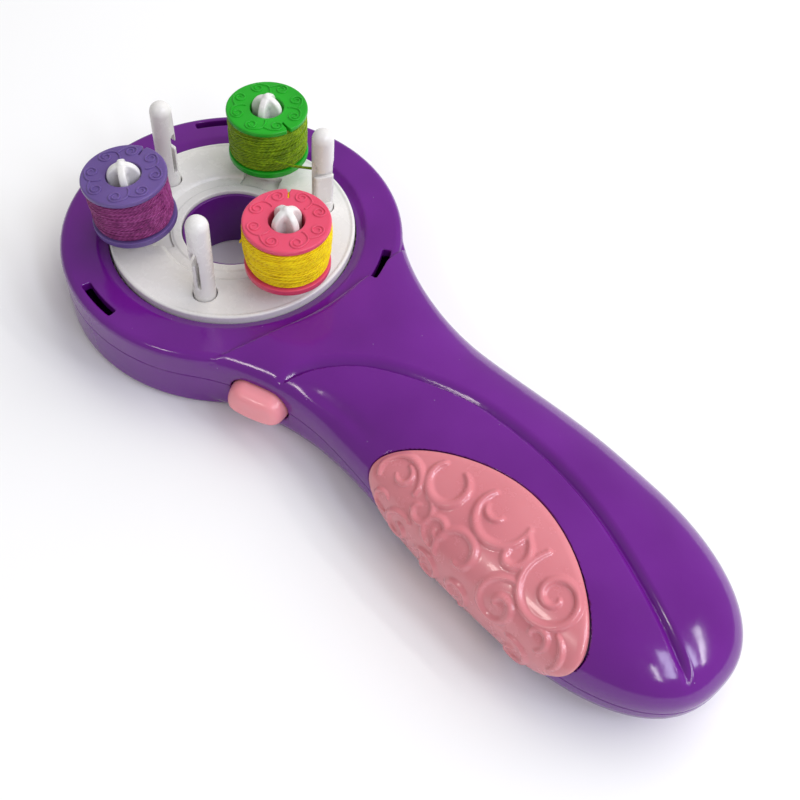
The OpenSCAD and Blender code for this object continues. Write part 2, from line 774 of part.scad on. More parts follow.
// The thread underneath, out to just inside the outer turns
core_gap = 0.25;
module thread_core(k) {
  core_r = bobbin_bore_r + barrel_t + eps;
  color(THREAD_COLOURS[k]) at_spindle(k) translate([0, 0, bobbin_z]) rotate_extrude() polygon(concat(
    [[core_r, wound_low + eps]],
    [for (z = [wound_low + eps, each [for (i = [0:8]) mix(wind_low, wind_high, i / 8)], wound_high - eps])
      [wound_r(k, min(max((z - wind_low) / (wind_high - wind_low), 0), 1)) - thread_d - core_gap, z]],
    [[core_r, wound_high - eps]]));
}

// Needles ----------------------------------------------------------------------------------

// Levels on a needle, measured down from its tip
throat_top = needle_top - 11.1;
barb_low = needle_top - 14.4;
mouth_low = needle_top - 16.4;
slit_low = needle_top - 25.5;
barb_in = 1.9;
tongue_out = 2.15;
slit_in = needle_slit - 0.3;

// Outline of the hook's openings; the hook faces -X in this outline
module hook_cuts() {
  translate([-barb_in, barb_low - 1]) square([barb_in, throat_top - barb_low + 1 - barb_in / 2]);
  translate([-barb_in / 2, throat_top - barb_in / 2]) circle(d = barb_in);
  translate([-5, mouth_low]) square([5, barb_low - mouth_low]);
  translate([-slit_in, slit_low + needle_slit / 2]) square([needle_slit, barb_low - slit_low]);
  translate([needle_slit / 2 - slit_in, slit_low + needle_slit / 2]) circle(d = needle_slit);
  polygon([[-slit_in, barb_low], [-slit_in, mouth_low + 1.2], [-tongue_out, mouth_low - 0.8],
    [-5, mouth_low - 0.8], [-5, barb_low]]);
  polygon([[-tongue_out, mouth_low], [-tongue_out, slit_low], [-needle_r - 0.2, slit_low - 1.4],
    [-5, slit_low - 1.4], [-5, mouth_low]]);
}

module needle(k) {
  color(WHITE) rotate([0, 0, needle_angles[k]]) translate([needle_orbit, 0, 0]) difference() {
    union() {
      translate([0, 0, carrier_top]) cylinder(r = needle_r, h = needle_top - needle_r - carrier_top);
      translate([0, 0, needle_top - needle_r]) sphere(r = needle_r);
    }
    translate([0, 0, carrier_top - 1]) cylinder(r = 1.5, h = 6);
    translate([-needle_r - 1, 0, 0]) rotate([90, 0, 90]) linear_extrude(2 * needle_r + 2) hook_cuts();
  }
}

module needle_carrier() {
  color("#d9d4cc") {
    ring_slice(sleeve_r + slide_gap, gear_seat_r - 0.4, carrier_low, carrier_top, $fn = 96);
    for (a = needle_angles) rotate([0, 0, a]) translate([needle_orbit, 0, carrier_top - eps])
      cylinder(r = 1.45, h = 4.5);
  }
}

module carrier_spring() {
  color(STEEL) ring_slice(sleeve_r + 2.3, sleeve_r + 3.5, floor_t + slide_gap, carrier_low - slide_gap);
}

// Thread from the second bobbin to the first needle's hook
lead_d = 0.85;
lead_route = [[-1.4, 17.8, 36.8], [1.1, 19.45, 36.9], [3.6, 21.1, 37], [6.1, 22.7, 37.1], [8.7, 24.4, 37.2]];

module thread_lead() {
  sides = 8;
  along = lead_route[len(lead_route) - 1] - lead_route[0];
  side = cross([0, 0, 1], along) / norm(cross([0, 0, 1], along));
  up = cross(along, side) / norm(along);
  last = (len(lead_route) - 1) * sides;
  color(THREAD_COLOURS[1]) polyhedron(
    points = [for (p = lead_route) for (j = [0:sides - 1]) let(a = 360 * j / sides)
      p + lead_d / 2 * (cos(a) * side + sin(a) * up)],
    faces = concat(
      [for (j = [1:sides - 2]) [0, j, j + 1]],
      [for (i = [0:len(lead_route) - 2]) for (j = [0:sides - 1])
        let(a = i * sides + j, b = i * sides + (j + 1) % sides)
        each [[a, a + sides, b + sides], [a, b + sides, b]]],
      [for (j = [1:sides - 2]) [last, last + j + 1, last + j]]));
}

// Drive ------------------------------------------------------------------------------------

module idler_gear() {
  color("#e0c43c") translate([idler_x, 0, teeth_low]) gear(idler_teeth, idler_phase, face_w, pin_r + run_gap);
}

module compound_gear() {
  color("#e0c43c") translate([compound_x, 0, 0]) {
    translate([0, 0, teeth_low]) gear(small_teeth, small_phase, face_w, pin_r + run_gap);
    ring_slice(pin_r + run_gap, 4.2, teeth_top, large_low);
    translate([0, 0, large_low]) gear(large_teeth, 0, large_t, pin_r + run_gap);
  }
}

module motor_pinion() {
  color("#e0c43c") translate([motor_x, 0, large_low]) gear(pinion_teeth, pinion_phase, large_t, pin_r);
}

module motor_shaft() {
  color(STEEL) translate([motor_x, 0, motor_top - shaft_in])
    cylinder(r = pin_r, h = large_top + 0.4 - motor_top + shaft_in);
}

module motor() {
  color(STEEL) translate([motor_x, 0, 0]) difference() {
    union() {
      translate([0, 0, motor_low]) cylinder(r = motor_r, h = motor_h);
      translate([0, 0, motor_top - eps]) cylinder(r = 3, h = 1.2);
    }
    translate([0, 0, motor_top - shaft_in - 0.5]) cylinder(r = pin_r + run_gap, h = through);
  }
}

module gear_pins() {
  color(STEEL) {
    translate([idler_x, 0, floor_t]) cylinder(r = pin_r, h = teeth_top + seat_gap - floor_t);
    translate([compound_x, 0, floor_t]) cylinder(r = pin_r, h = pin_top - floor_t);
  }
}

// Power ------------------------------------------------------------------------------------

module battery(side) {
  start = bay_x + contact_t + contact_reach;
  color("#3a3f46") translate([start + (side > 0 ? 0 : cell_len), side * cell_y, cell_z])
    rotate([0, side > 0 ? 90 : -90, 0]) {
      cylinder(d = cell_d, h = cell_len - 1);
      cylinder(d = 5.5, h = cell_len);
    }
}

module battery_contacts() {
  color("#c8c4b8") for (s = [-1, 1]) translate([0, s * cell_y, cell_z]) rotate([0, 90, 0]) {
    translate([0, 0, bay_x]) {
      translate([-4, -5, 0]) cube([8, 10, contact_t]);
      cylinder(r = 2.6, h = contact_t + contact_reach);
    }
    translate([0, 0, bay_end_x - contact_t]) {
      translate([-4, -5, 0]) cube([8, 10, contact_t]);
      translate([0, 0, -contact_reach]) cylinder(r = 2.6, h = contact_reach + eps);
    }
  }
}

module battery_door() {
  color(PURPLE) difference() {
    union() {
      translate([bay_x + door_gap, -door_half, 0])
        cube([bay_end_x - bay_x - 2 * door_gap, 2 * door_half, door_t]);
      translate([bay_end_x - 1, -tab_half, 0]) cube([tab_end_x - bay_end_x + 1, 2 * tab_half, door_t]);
      for (s = [-1, 1]) translate([bay_x + door_gap, s * clip_y - clip_half, 0]) {
        cube([1.4, 2 * clip_half, floor_t + 1.3]);
        translate([-bay_wall - 1.2, 0, floor_t + 0.2]) cube([bay_wall + 1.4, 2 * clip_half, 1.1]);
      }
    }
    translate([door_screw_x, 0, -1]) cylinder(r = 1.3, h = door_t + 2);
    translate([door_screw_x, 0, -1]) cylinder(r = 2.6, h = 2.2);
  }
}

module door_screw() {
  color(STEEL) translate([door_screw_x, 0, 0.2]) {
    cylinder(r = 2.3, h = 1);
    cylinder(r = 1, h = 8.6);
  }
}

module shell_screws() {
  color(STEEL) for (p = boss_places) translate([p[0], p[1], 0]) {
    translate([0, 0, screw_seat(p) - 1.8]) cylinder(r = head_screw_r, h = 1.8);
    translate([0, 0, screw_seat(p) - eps]) cylinder(r = screw_r, h = parting_z + screw_reach - screw_seat(p));
  }
}

upper_shell();
lower_shell();
grip_inlay();
cord_tube();
turntable();
drive_gear();
spindle(0);  // spindle_1
spindle(1);  // spindle_2
spindle(2);  // spindle_3
bobbin(0);  // bobbin_1
bobbin(1);  // bobbin_2
bobbin(2);  // bobbin_3
thread_core(0);  // thread_core_1
thread_core(1);  // thread_core_2
thread_core(2);  // thread_core_3
winding(0);  // winding_1
winding(1);  // winding_2
winding(2);  // winding_3
needle(0);  // needle_1
needle(1);  // needle_2
needle(2);  // needle_3
needle_carrier();
carrier_spring();
thread_lead();
idler_gear();
compound_gear();
motor_pinion();
motor_shaft();
motor();
gear_pins();
push_button();
power_switch();
battery(1);  // battery_1
battery(-1);  // battery_2
battery_contacts();
battery_door();
door_screw();
shell_screws();
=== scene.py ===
"""Visible surfaces of a hand-held knitting machine: a round head with a turntable that carries
three thread bobbins and three hook needles, and a handle with a button and a grip inlay.
Lengths in the shape functions are millimetres; meshes are made in metres."""

import math

import bmesh
import bpy
import numpy as np
from bpy.props import FloatProperty, FloatVectorProperty, PointerProperty, StringProperty
from mathutils import Euler, Matrix, Vector


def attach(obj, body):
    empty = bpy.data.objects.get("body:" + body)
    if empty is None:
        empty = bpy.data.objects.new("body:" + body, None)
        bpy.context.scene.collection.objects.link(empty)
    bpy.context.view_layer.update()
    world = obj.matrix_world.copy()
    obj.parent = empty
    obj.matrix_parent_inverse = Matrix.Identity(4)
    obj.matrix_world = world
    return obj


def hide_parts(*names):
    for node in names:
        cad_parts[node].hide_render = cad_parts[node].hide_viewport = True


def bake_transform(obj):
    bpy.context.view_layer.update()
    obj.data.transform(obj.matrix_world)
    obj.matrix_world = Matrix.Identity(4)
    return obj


bl_info = {
    "name": "Knitting machine",
    "version": (1, 0, 0),
    "blender": (4, 5, 0),
    "location": "3D View > Sidebar > Knitting machine",
    "description": "Builds the visible surfaces of a hand-held knitting machine",
    "category": "Object",
}

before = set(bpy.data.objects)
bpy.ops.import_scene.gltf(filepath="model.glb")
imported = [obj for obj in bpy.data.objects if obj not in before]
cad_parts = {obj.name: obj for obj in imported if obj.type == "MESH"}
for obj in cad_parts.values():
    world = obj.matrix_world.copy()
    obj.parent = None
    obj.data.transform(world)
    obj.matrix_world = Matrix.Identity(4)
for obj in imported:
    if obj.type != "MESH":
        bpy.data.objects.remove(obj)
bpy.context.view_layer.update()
MM = 0.001
COARSE = 1.0

# Levels and sizes of the case, in millimetres
HEAD_R = 52.3
RING_TOP = 22.4
RING_UNDER = 19.4
JOINT_Z = 13.6
WALL = 2.4
FLOOR = 2.2
OPENING_R = 37.9
BEVEL = (3.1, 1.9)
TIP_X = 185.8
CAP = 44.0
SWEEP_R = 68.0
SWEEP_X = 75.07
NECK = 26.0
GRIP = 29.2
END = 27.2
GRIP_X = 126.0
BELLY = 15.5
SHOULDER = (-75.7, 4.0, 120.0)
SLOTS = (-91, 29, 149)
BAY = (101.4, 157.4, 15.25)
TAB = (164.8, 4.7)
SEATS = [(r * math.cos(math.radians(a)), r * math.sin(math.radians(a)), 4.0)
         for r, a in ((45.5, 62), (45.5, 120), (45.5, 210), (45.5, 300))] \
    + [(107.4, 20.0, 6.5), (107.4, -20.0, 6.5), (171.3, 0.0, 6.5)]

# The button's place: centre, the way it faces, and the line along the wall
BUTTON_AT = np.array((51.3, -30.5, 12.8))
BUTTON_OUT = np.array((math.cos(math.radians(-68)), math.sin(math.radians(-68)), 0.0))
BUTTON_ALONG = np.array((-BUTTON_OUT[1], BUTTON_OUT[0], 0.0))

# The grip inlay: an ellipse in length along the handle and angle about the joint line
INLAY_HALF = 35.2
INLAY_MID = 27.0
INLAY_REACH = 58.0

# The turntable and what it carries
DISC_TOP = 22.5
DISC_UNDER = 19.5
DISC_R = 37.45
DISH_Z = 21.3
BOBBIN_ANGLES = (-2, 118, 238)
BOBBIN_LEANS = (0, 0, 4)
BOBBIN_ORBIT = 28.0
BOBBIN_Z = 28.6
BOBBIN_H = 18.0
BOBBIN_R = 12.5
BORE_R = 5.15
NEEDLE_ANGLES = (66.4, 186.4, 306.4)
NEEDLE_ORBIT = 28.6
NEEDLE_R = 3.3
NEEDLE_TOP = 52.7


# Small helpers ------------------------------------------------------------------------------

def smooth(t):
    t = np.clip(t, 0.0, 1.0)
    return t * t * (3 - 2 * t)


def smin(a, b, k):
    """Least of two distances, rounded over about k millimetres where they meet."""
    h = np.clip(0.5 + 0.5 * (b - a) / k, 0.0, 1.0)
    return b + (a - b) * h - k * h * (1 - h)


def smax(a, b, k):
    return -smin(-a, -b, k)


def spline(points, per_span=12):
    """Points along a smooth curve that passes through the given ones."""
    p = np.array(points, float)
    p = np.vstack([2 * p[0] - p[1], p, 2 * p[-1] - p[-2]])
    out = []
    t = np.linspace(0, 1, per_span, endpoint=False)[:, None]
    for a, b, c, d in zip(p[:-3], p[1:-2], p[2:-1], p[3:]):
        out.append(0.5 * (2 * b + (c - a) * t + (2 * a - 5 * b + 4 * c - d) * t ** 2
                          + (3 * b - a - 3 * c + d) * t ** 3))
    return np.vstack(out + [p[-2:-1]])


def along_curve(x, y, curve):
    """Signed distance from each point to a plan curve, and how far along it the nearest place is.
    The distance is positive on the curve's left."""
    shape = np.broadcast(x, y).shape
    q = np.stack([np.broadcast_to(x, shape).ravel(), np.broadcast_to(y, shape).ravel()], 1)
    a, b = curve[:-1, :2], curve[1:, :2]
    ab = b - a
    length = np.hypot(ab[:, 0], ab[:, 1])
    start = np.concatenate([[0], np.cumsum(length)])
    best = np.full(len(q), 1e9)
    side = np.zeros(len(q))
    where = np.zeros(len(q))
    for i in range(len(a)):
        d = q - a[i]
        t = np.clip((d @ ab[i]) / length[i] ** 2, 0, 1)
        e = d - t[:, None] * ab[i]
        r = np.hypot(e[:, 0], e[:, 1])
        near = r < best
        best[near] = r[near]
        side[near] = np.sign(ab[i, 0] * d[near, 1] - ab[i, 1] * d[near, 0])
        where[near] = start[i] + t[near] * length[i]
    return (best * side).reshape(shape), (where / start[-1]).reshape(shape)


def new_mesh(name, points, faces, normals=None, smooth_faces=True):
    """A mesh object from millimetre points."""
    mesh = bpy.data.meshes.new(name)
    mesh.from_pydata((np.asarray(points, float) * MM).tolist(), [], [list(map(int, f)) for f in faces])
    mesh.update()
    if smooth_faces:
        mesh.polygons.foreach_set("use_smooth", [True] * len(mesh.polygons))
    if normals is not None:
        mesh.normals_split_custom_set_from_vertices(np.asarray(normals, float).tolist())
    obj = bpy.data.objects.new(name, mesh)
    bpy.context.scene.collection.objects.link(obj)
    return obj


def grid_faces(rows, columns, closed=False, flip=False):
    """Quads of a rows by columns grid of points, closed round the columns if asked."""
    faces = []
    for i in range(rows - 1):
        for j in range(columns if closed else columns - 1):
            k = (j + 1) % columns
            f = (i * columns + j, i * columns + k, (i + 1) * columns + k, (i + 1) * columns + j)
            faces.append(f[::-1] if flip else f)
    return faces


def lathe(name, profile, steps=96, closed=True):
    """A turned form about Z from a closed (radius, height) outline, run so that material is on its left."""
    p = np.array(profile, float)
    a = np.linspace(0, 2 * math.pi, steps, endpoint=False)
    rows = len(p) + (1 if closed else 0)
    ring = np.vstack([p, p[:1]]) if closed else p
    pts = np.stack([np.outer(ring[:, 0], np.cos(a)), np.outer(ring[:, 0], np.sin(a)),
                    np.repeat(ring[:, 1:], steps, 1)], -1).reshape(-1, 3)
    faces = grid_faces(rows, steps, closed=True, flip=False)
    if closed:
        last = (rows - 1) * steps
        faces = [tuple(v - last if v >= last else v for v in f) for f in faces]
        pts = pts[:last]
    return new_mesh(name, pts, faces)


def rounded(points, radius, steps=4):
    """An outline with each corner turned into a small arc; radius may be one number or one a corner."""
    p = np.array(points, float)
    n = len(p)
    r = np.broadcast_to(radius, n)
    out = []
    for i in range(n):
        a, b, c = p[i - 1], p[i], p[(i + 1) % n]
        u, v = a - b, c - b
        lu, lv = np.hypot(*u), np.hypot(*v)
        if r[i] <= 0:
            out.append(b)
            continue
        u, v = u / lu, v / lv
        reach = min(r[i], 0.45 * lu, 0.45 * lv)
        for t in np.linspace(0, 1, steps + 1):
            out.append(b + u * reach * (1 - t) ** 2 + v * reach * t ** 2)
    return out


def place(obj, matrix):
    obj.data.transform(matrix)
    obj.data.update()
    return obj


def edge_smooth(obj, angle=35):
    """Shades the mesh smooth apart from edges sharper than the angle."""
    obj.data.set_sharp_from_angle(angle=math.radians(angle))
    return obj


# The case as a signed distance --------------------------------------------------------------

CREASE = spline([(55.4, -28.2), (57.2, -23.2), (60.3, -16.2), (67, -7.7), (76.2, -1.4), (86.7, 3.4),
                 (98.2, 6.9), (111.5, 7.9), (125.5, 7.2), (140.7, 4.7), (157.6, -0.6), (171, -5.4),
                 (182, -9.4)], 6)
FOLD = spline([(58.5, -24.6), (63.6, -22.5), (70, -20.9), (77.3, -20.1), (85.3, -20.3), (90, -20.8)], 4)


def plan_half(x):
    sweep = NECK + SWEEP_R - np.sqrt(np.maximum(SWEEP_R ** 2 - (x - SWEEP_X) ** 2, 1.0))
    grip = NECK + (GRIP - NECK) * smooth((x - SWEEP_X) / (GRIP_X - SWEEP_X))
    end = GRIP + (END - GRIP) * smooth((x - GRIP_X) / (TIP_X - GRIP_X))
    out = np.where(x < SWEEP_X, sweep, np.where(x < GRIP_X, grip, end))
    inner = np.sqrt(np.maximum(HEAD_R ** 2 - x ** 2, 100.0)) - 3 * smooth((34 - x) / 10)
    return np.where(x < 34, inner, out)


def crest(x):
    return np.interp(x, [44.3, 78, GRIP_X, TIP_X], [3, 4.1, 7.1, 6.1])


def crest_soft(x):
    return (crest(x - 5) + 2 * crest(x) + crest(x + 5)) / 4


def section_powers(x):
    return 4.5 + (2.35 - 4.5) * smooth((x - 40) / 45), 5 + (2.6 - 5) * smooth((x - 40) / 55)


def handle_level(x, y, z, inset):
    """Zero on the handle's surface, negative inside; not yet a distance."""
    up = z > JOINT_Z
    crown_n, belly_n = section_powers(x)
    n = np.where(up, crown_n, belly_n)
    h = np.where(up, RING_TOP + crest_soft(x) - JOINT_Z, BELLY) - inset
    a = np.abs(y) / (plan_half(x) - inset) + 1e-9
    b = np.abs(z - JOINT_Z) / h + 1e-9
    r = (a ** n + b ** n) ** (1 / n)
    t = np.clip((x - (TIP_X - CAP)) / (CAP - inset), 0, None)
    m = 2.3 + 0.3 * b * b / (a * a + b * b)
    return np.where(t > 0, (t ** m + r ** m) ** (1 / m), r) - 1


def handle(x, y, z, inset=0.0):
    """Distance to the handle's surface."""
    h = 0.02
    f = handle_level(x, y, z, inset)
    gx = (handle_level(x + h, y, z, inset) - f) / h
    gy = (handle_level(x, y + h, z, inset) - f) / h
    gz = (handle_level(x, y, z + h, inset) - f) / h
    return f / np.maximum(np.sqrt(gx * gx + gy * gy + gz * gz), 0.012)


def head(r, z):
    edge = np.where(z > 11.2, 2.5, 3.0)
    u = r - (HEAD_R - edge)
    v = np.abs(z - RING_TOP / 2) - (RING_TOP / 2 - edge)
    return np.hypot(np.maximum(u, 0), np.maximum(v, 0)) + np.minimum(np.maximum(u, v), 0) - edge


def shoulder_cut(x, y, z, grow, low):
    """Negative above a level on the head's side of the shoulder's edge."""
    return np.maximum(np.hypot(x - SHOULDER[0], y - SHOULDER[1]) - SHOULDER[2] - grow, low - z)


def inlay_angle(x, y, z, w, h_up, h_low):
    """Angle about the joint line of a point on the near side."""
    up = z > JOINT_Z
    crown_n, belly_n = section_powers(x)
    n = np.where(up, crown_n, belly_n)
    b = (np.abs(z - JOINT_Z) / np.where(up, h_up, h_low)) ** (n / 2)
    a = (np.maximum(-y, 0) / w + 1e-6) ** (n / 2)
    return np.degrees(np.arctan2(b, a)) * np.where(up, 1, -1)


def inlay_level(x, y, z):
    """Below 1 inside the inlay's outline."""
    t = inlay_angle(x, y, z, plan_half(x), RING_TOP + crest_soft(x) - JOINT_Z, BELLY)
    return np.sqrt(((x - GRIP_X) / INLAY_HALF) ** 2 + ((t - INLAY_MID) / INLAY_REACH) ** 2 + 1e-9)


def crease_depth(x, y):
    """How far the crease and the soft fold of the neck sink into the handle."""
    shape = np.broadcast(x, y).shape
    x, y = np.broadcast_to(x, shape), np.broadcast_to(y, shape)
    depth = np.zeros(shape)
    near = (x > 50) & (np.abs(y) < 34)
    px, py = x[near], y[near]
    d, s = along_curve(px, py, CREASE)
    a = np.sqrt(d * d + 0.04)
    wide, wall = 4.2 - 1.9 * s, 0.7 + 1.2 * s
    soft = (np.clip(1 - a / wide, 0, 1) / (1 - 0.2 / wide)) ** 2
    sharp = (np.clip(1 - a / wall, 0, 1) / (1 - 0.2 / wall)) ** 1.5
    groove = (2.0 - 0.5 * s) * smooth(s / 0.05) * smooth((1 - s) / 0.05) * np.where(d > 0, soft, sharp)
    d, s = along_curve(px, py, FOLD)
    depth[near] = groove + 0.45 * smooth(s / 0.3) * smooth((1 - s) / 0.4) * np.exp(-(d / 1.8) ** 2)
    return depth


def skin(x, y, z, folds=True):
    """Distance to the outside of both shells together, before any opening is cut."""
    r = np.hypot(x, y)
    body = np.maximum(handle(x, y, z), 8 - x)
    if folds:
        body = body + crease_depth(x, y) * smooth((z - 15) / 3)
    cut = shoulder_cut(x, y, z, 0, RING_TOP - 1.6)
    body = smax(body, -cut, 0.9)
    joined = smin(head(r, z), body, 0.3 + 0.7 * smooth((z - 20.5) / 1.5))
    return smax(joined, -z, 0.6)


def room(x, y, z):
    """Distance to the wall from inside the hollow case; negative in the hollow."""
    r = np.hypot(x, y)
    hollow_head = np.maximum(r - (HEAD_R - WALL), z - RING_UNDER)
    body = np.maximum(handle(x, y, z, WALL), 8 - x)
    body = np.maximum(body, -shoulder_cut(x, y, z, WALL, RING_UNDER))
    hollow = np.maximum(np.minimum(hollow_head, body), FLOOR - z)
    for sx, sy, _ in SEATS:
        hollow = np.maximum(hollow, 3.8 - np.hypot(x - sx, y - sy))
    return hollow


def stadium(u, v, half_length, half_height):
    return np.hypot(np.maximum(np.abs(u) - (half_length - half_height), 0), v) - half_height


def button_hole(x, y, z, gap):
    px, py = x - BUTTON_AT[0], y - BUTTON_AT[1]
    along = px * BUTTON_ALONG[0] + py * BUTTON_ALONG[1]
    out = px * BUTTON_OUT[0] + py * BUTTON_OUT[1]
    return np.maximum(stadium(along, z - BUTTON_AT[2], 9 + gap, 5.2 + gap), np.abs(out) - 12)


def inlay_seat(x, y, z, outside):
    h = 0.05
    e = inlay_level(x, y, z)
    gx = (inlay_level(x + h, y, z) - e) / h
    gy = (inlay_level(x, y + h, z) - e) / h
    gz = (inlay_level(x, y, z + h) - e) / h
    d = (e - 1) / np.maximum(np.sqrt(gx * gx + gy * gy + gz * gz), 0.004) - 0.15
    return np.maximum(np.maximum(d, y + 2), -(outside + 1.4))


def upper_case(x, y, z):
    r = np.hypot(x, y)
    outside = skin(x, y, z)
    f = smax(outside, -inlay_seat(x, y, z, outside), 0.3)
    cone = ((r - OPENING_R) * BEVEL[1] - (z - RING_TOP + BEVEL[1]) * BEVEL[0]) / math.hypot(*BEVEL)
    f = smax(f, -np.maximum(np.minimum(r - OPENING_R, cone), 10 - z), 0.35)
    angle = np.degrees(np.arctan2(y, x))
    for a in SLOTS:
        turn = (angle - a + 180) % 360 - 180
        hole = smax(np.abs(r - 48) - 1.3, np.abs(turn) * math.radians(48) - 7.1, 0.4)
        f = smax(f, -np.maximum(hole, 12 - z), 0.45)
    f = np.maximum(f, -room(x, y, z))
    f = smax(f, -button_hole(x, y, z, 0.35), 0.4)
    return smax(f, JOINT_Z + 0.03 - z, 0.3)


def lower_case(x, y, z):
    r = np.hypot(x, y)
    outside = skin(x, y, z, folds=False)
    f = smax(outside, -inlay_seat(x, y, z, outside), 0.3)
    f = np.maximum(f, -room(x, y, z))
    f = smax(f, 15.7 - r, 0.4)
    f = smax(f, -button_hole(x, y, z, 0.35), 0.4)
    bay = np.maximum(np.maximum(BAY[0] - x, x - BAY[1]), np.abs(y) - BAY[2])
    tab = np.maximum(np.maximum(BAY[1] - 1 - x, x - TAB[0]), np.abs(y) - TAB[1])
    f = smax(f, -np.minimum(bay, tab), 0.3)
    for sx, sy, depth in SEATS:
        hole = np.maximum(np.hypot(x - sx, y - sy) - 2.95, z - depth)
        f = smax(f, -hole, 0.3)
    return smax(f, z - JOINT_Z + 0.03, 0.3)


def slope(level, p, h=0.03):
    x, y, z = p[:, 0], p[:, 1], p[:, 2]
    f = level(x, y, z)
    g = np.stack([level(x + h, y, z) - f, level(x, y + h, z) - f, level(x, y, z + h) - f], -1) / h
    return f, g


def case_grid_with(fine, rows, crease_rows, heights):
    plan, round_rows, used = case_grid(fine, rows, crease_rows)
    return plan, heights, round_rows, used


def case_grid(fine, rows_out, crease_rows):
    """Plan places of a round grid over the head that runs on along the handle: one array (rows, columns, 2)
    and how many rows are round ones. Columns close on themselves; those outside the handle aren't used there."""
    columns = int(round(480 / fine))
    join_r = 54.0
    angle = np.linspace(-180, 180, columns, endpoint=False)
    radii = np.concatenate([np.arange(13.0, 36.9, 1.3 * fine), np.arange(36.9, join_r, 0.62 * fine), [join_r]])
    a = np.radians(angle)
    ring = np.stack([np.outer(radii, np.cos(a)), np.outer(radii, np.sin(a))], -1)
    out = join_r + np.cumsum(rows_out)
    wide = 43.0
    s = np.sin(a) / math.sin(math.radians(wide))
    half = 31.5 + (join_r * math.sin(math.radians(wide)) - 31.5) * (1 - smooth((out - join_r) / 26))
    y = half[:, None] * s[None, :]
    if crease_rows:
        middle = np.interp(out, CREASE[18:, 0], CREASE[18:, 1]) * smooth((out - 60) / 16)
        y = y + middle[:, None] * (1 - np.clip(s, -1, 1)[None, :] ** 2)
    back = (np.sqrt(join_r ** 2 - np.clip(join_r * math.sin(math.radians(wide)) * s, -53, 53) ** 2) - join_r)
    x = out[:, None] + back[None, :] * (1 - smooth((out - join_r) / 30))[:, None]
    used = np.abs(angle) <= wide
    return np.concatenate([ring, np.stack([x, y], -1)]), len(radii), used


def net(level, plan, heights, round_rows, used, steps=3, reach=0.45):
    """Surface net of a distance function over the plan grid, closed round its columns, with each point
    moved onto the surface and its normal taken from the function."""
    rows, columns = plan.shape[:2]
    levels = len(heights)
    value = np.full((rows, columns, levels), 1.0)
    z = heights[None, None, :]
    for lo in range(0, rows, 24):
        hi = min(lo + 24, rows)
        pick = np.ones(columns, bool) if lo < round_rows else used
        x, y = plan[lo:hi][:, pick, 0][..., None], plan[lo:hi][:, pick, 1][..., None]
        value[lo:hi, pick] = level(x, y, z)
    value[round_rows:, ~used] = 1.0
    inside = value < 0
    wrapped = np.concatenate([inside, inside[:, :1]], 1)
    total = sum(wrapped[i:rows - 1 + i, j:columns + j, k:levels - 1 + k].astype(np.int8)
                for i in (0, 1) for j in (0, 1) for k in (0, 1))
    ci, cj, ck = np.nonzero((total > 0) & (total < 8))
    corner = [(i, j, k) for i in (0, 1) for j in (0, 1) for k in (0, 1)]
    cols = [(cj + j) % columns for j in (0, 1)]
    v = np.stack([value[ci + i, cols[j], ck + k] for i, j, k in corner], 1)
    p = np.stack([np.concatenate([plan[ci + i, cols[j]], heights[ck + k][:, None]], 1) for i, j, k in corner], 1)
    at = np.zeros((len(ci), 3))
    count = np.zeros(len(ci))
    for m in range(8):
        for n in range(m + 1, 8):
            if sum(abs(a - b) for a, b in zip(corner[m], corner[n])) != 1:
                continue
            cross = (v[:, m] < 0) != (v[:, n] < 0)
            t = np.where(cross, v[:, m] / np.where(cross, v[:, m] - v[:, n], 1), 0)
            at += np.where(cross[:, None], p[:, m] + t[:, None] * (p[:, n] - p[:, m]), 0)
            count += cross
    at /= count[:, None]
    ids = np.full((rows - 1, columns, levels - 1), -1)
    ids[ci, cj, ck] = np.arange(len(ci))
    padded = np.concatenate([ids[:, -1:], ids], 1)          # column j of cells lies at j + 1
    faces = []

    def quads(change, a, b, c, d, flip):
        i, j, k = np.nonzero(change)
        q = np.stack([a[i, j, k], b[i, j, k], c[i, j, k], d[i, j, k]], 1)
        q[flip[i, j, k]] = q[flip[i, j, k]][:, ::-1]
        faces.append(q[(q >= 0).all(1)])

    e = inside[:-1, :, 1:-1] != inside[1:, :, 1:-1]
    quads(e, padded[:, :-1, :-1], padded[:, 1:, :-1], padded[:, 1:, 1:], padded[:, :-1, 1:],
          ~inside[:-1, :, 1:-1])
    e = wrapped[1:-1, :-1, 1:-1] != wrapped[1:-1, 1:, 1:-1]
    quads(e, ids[:-1, :, :-1], ids[:-1, :, 1:], ids[1:, :, 1:], ids[1:, :, :-1],
          ~wrapped[1:-1, :-1, 1:-1])
    e = inside[1:-1, :, :-1] != inside[1:-1, :, 1:]
    quads(e, padded[:-1, :-1], padded[1:, :-1], padded[1:, 1:], padded[:-1, 1:], ~inside[1:-1, :, :-1])
    faces = np.concatenate(faces)
    start = at.copy()
    for _ in range(steps):
        f, g = slope(level, at)
        step = (f / np.maximum((g * g).sum(1), 0.05))[:, None] * g
        size = np.sqrt((step * step).sum(1))[:, None]
        at = at - step * np.minimum(1, 0.25 / np.maximum(size, 1e-9))
        drift = at - start
        far = np.sqrt((drift * drift).sum(1))[:, None]
        at = start + drift * np.minimum(1, reach / np.maximum(far, 1e-9))
    _, g = slope(level, at)
    normal = g / np.maximum(np.sqrt((g * g).sum(1)), 1e-9)[:, None]
    return at, faces, normal


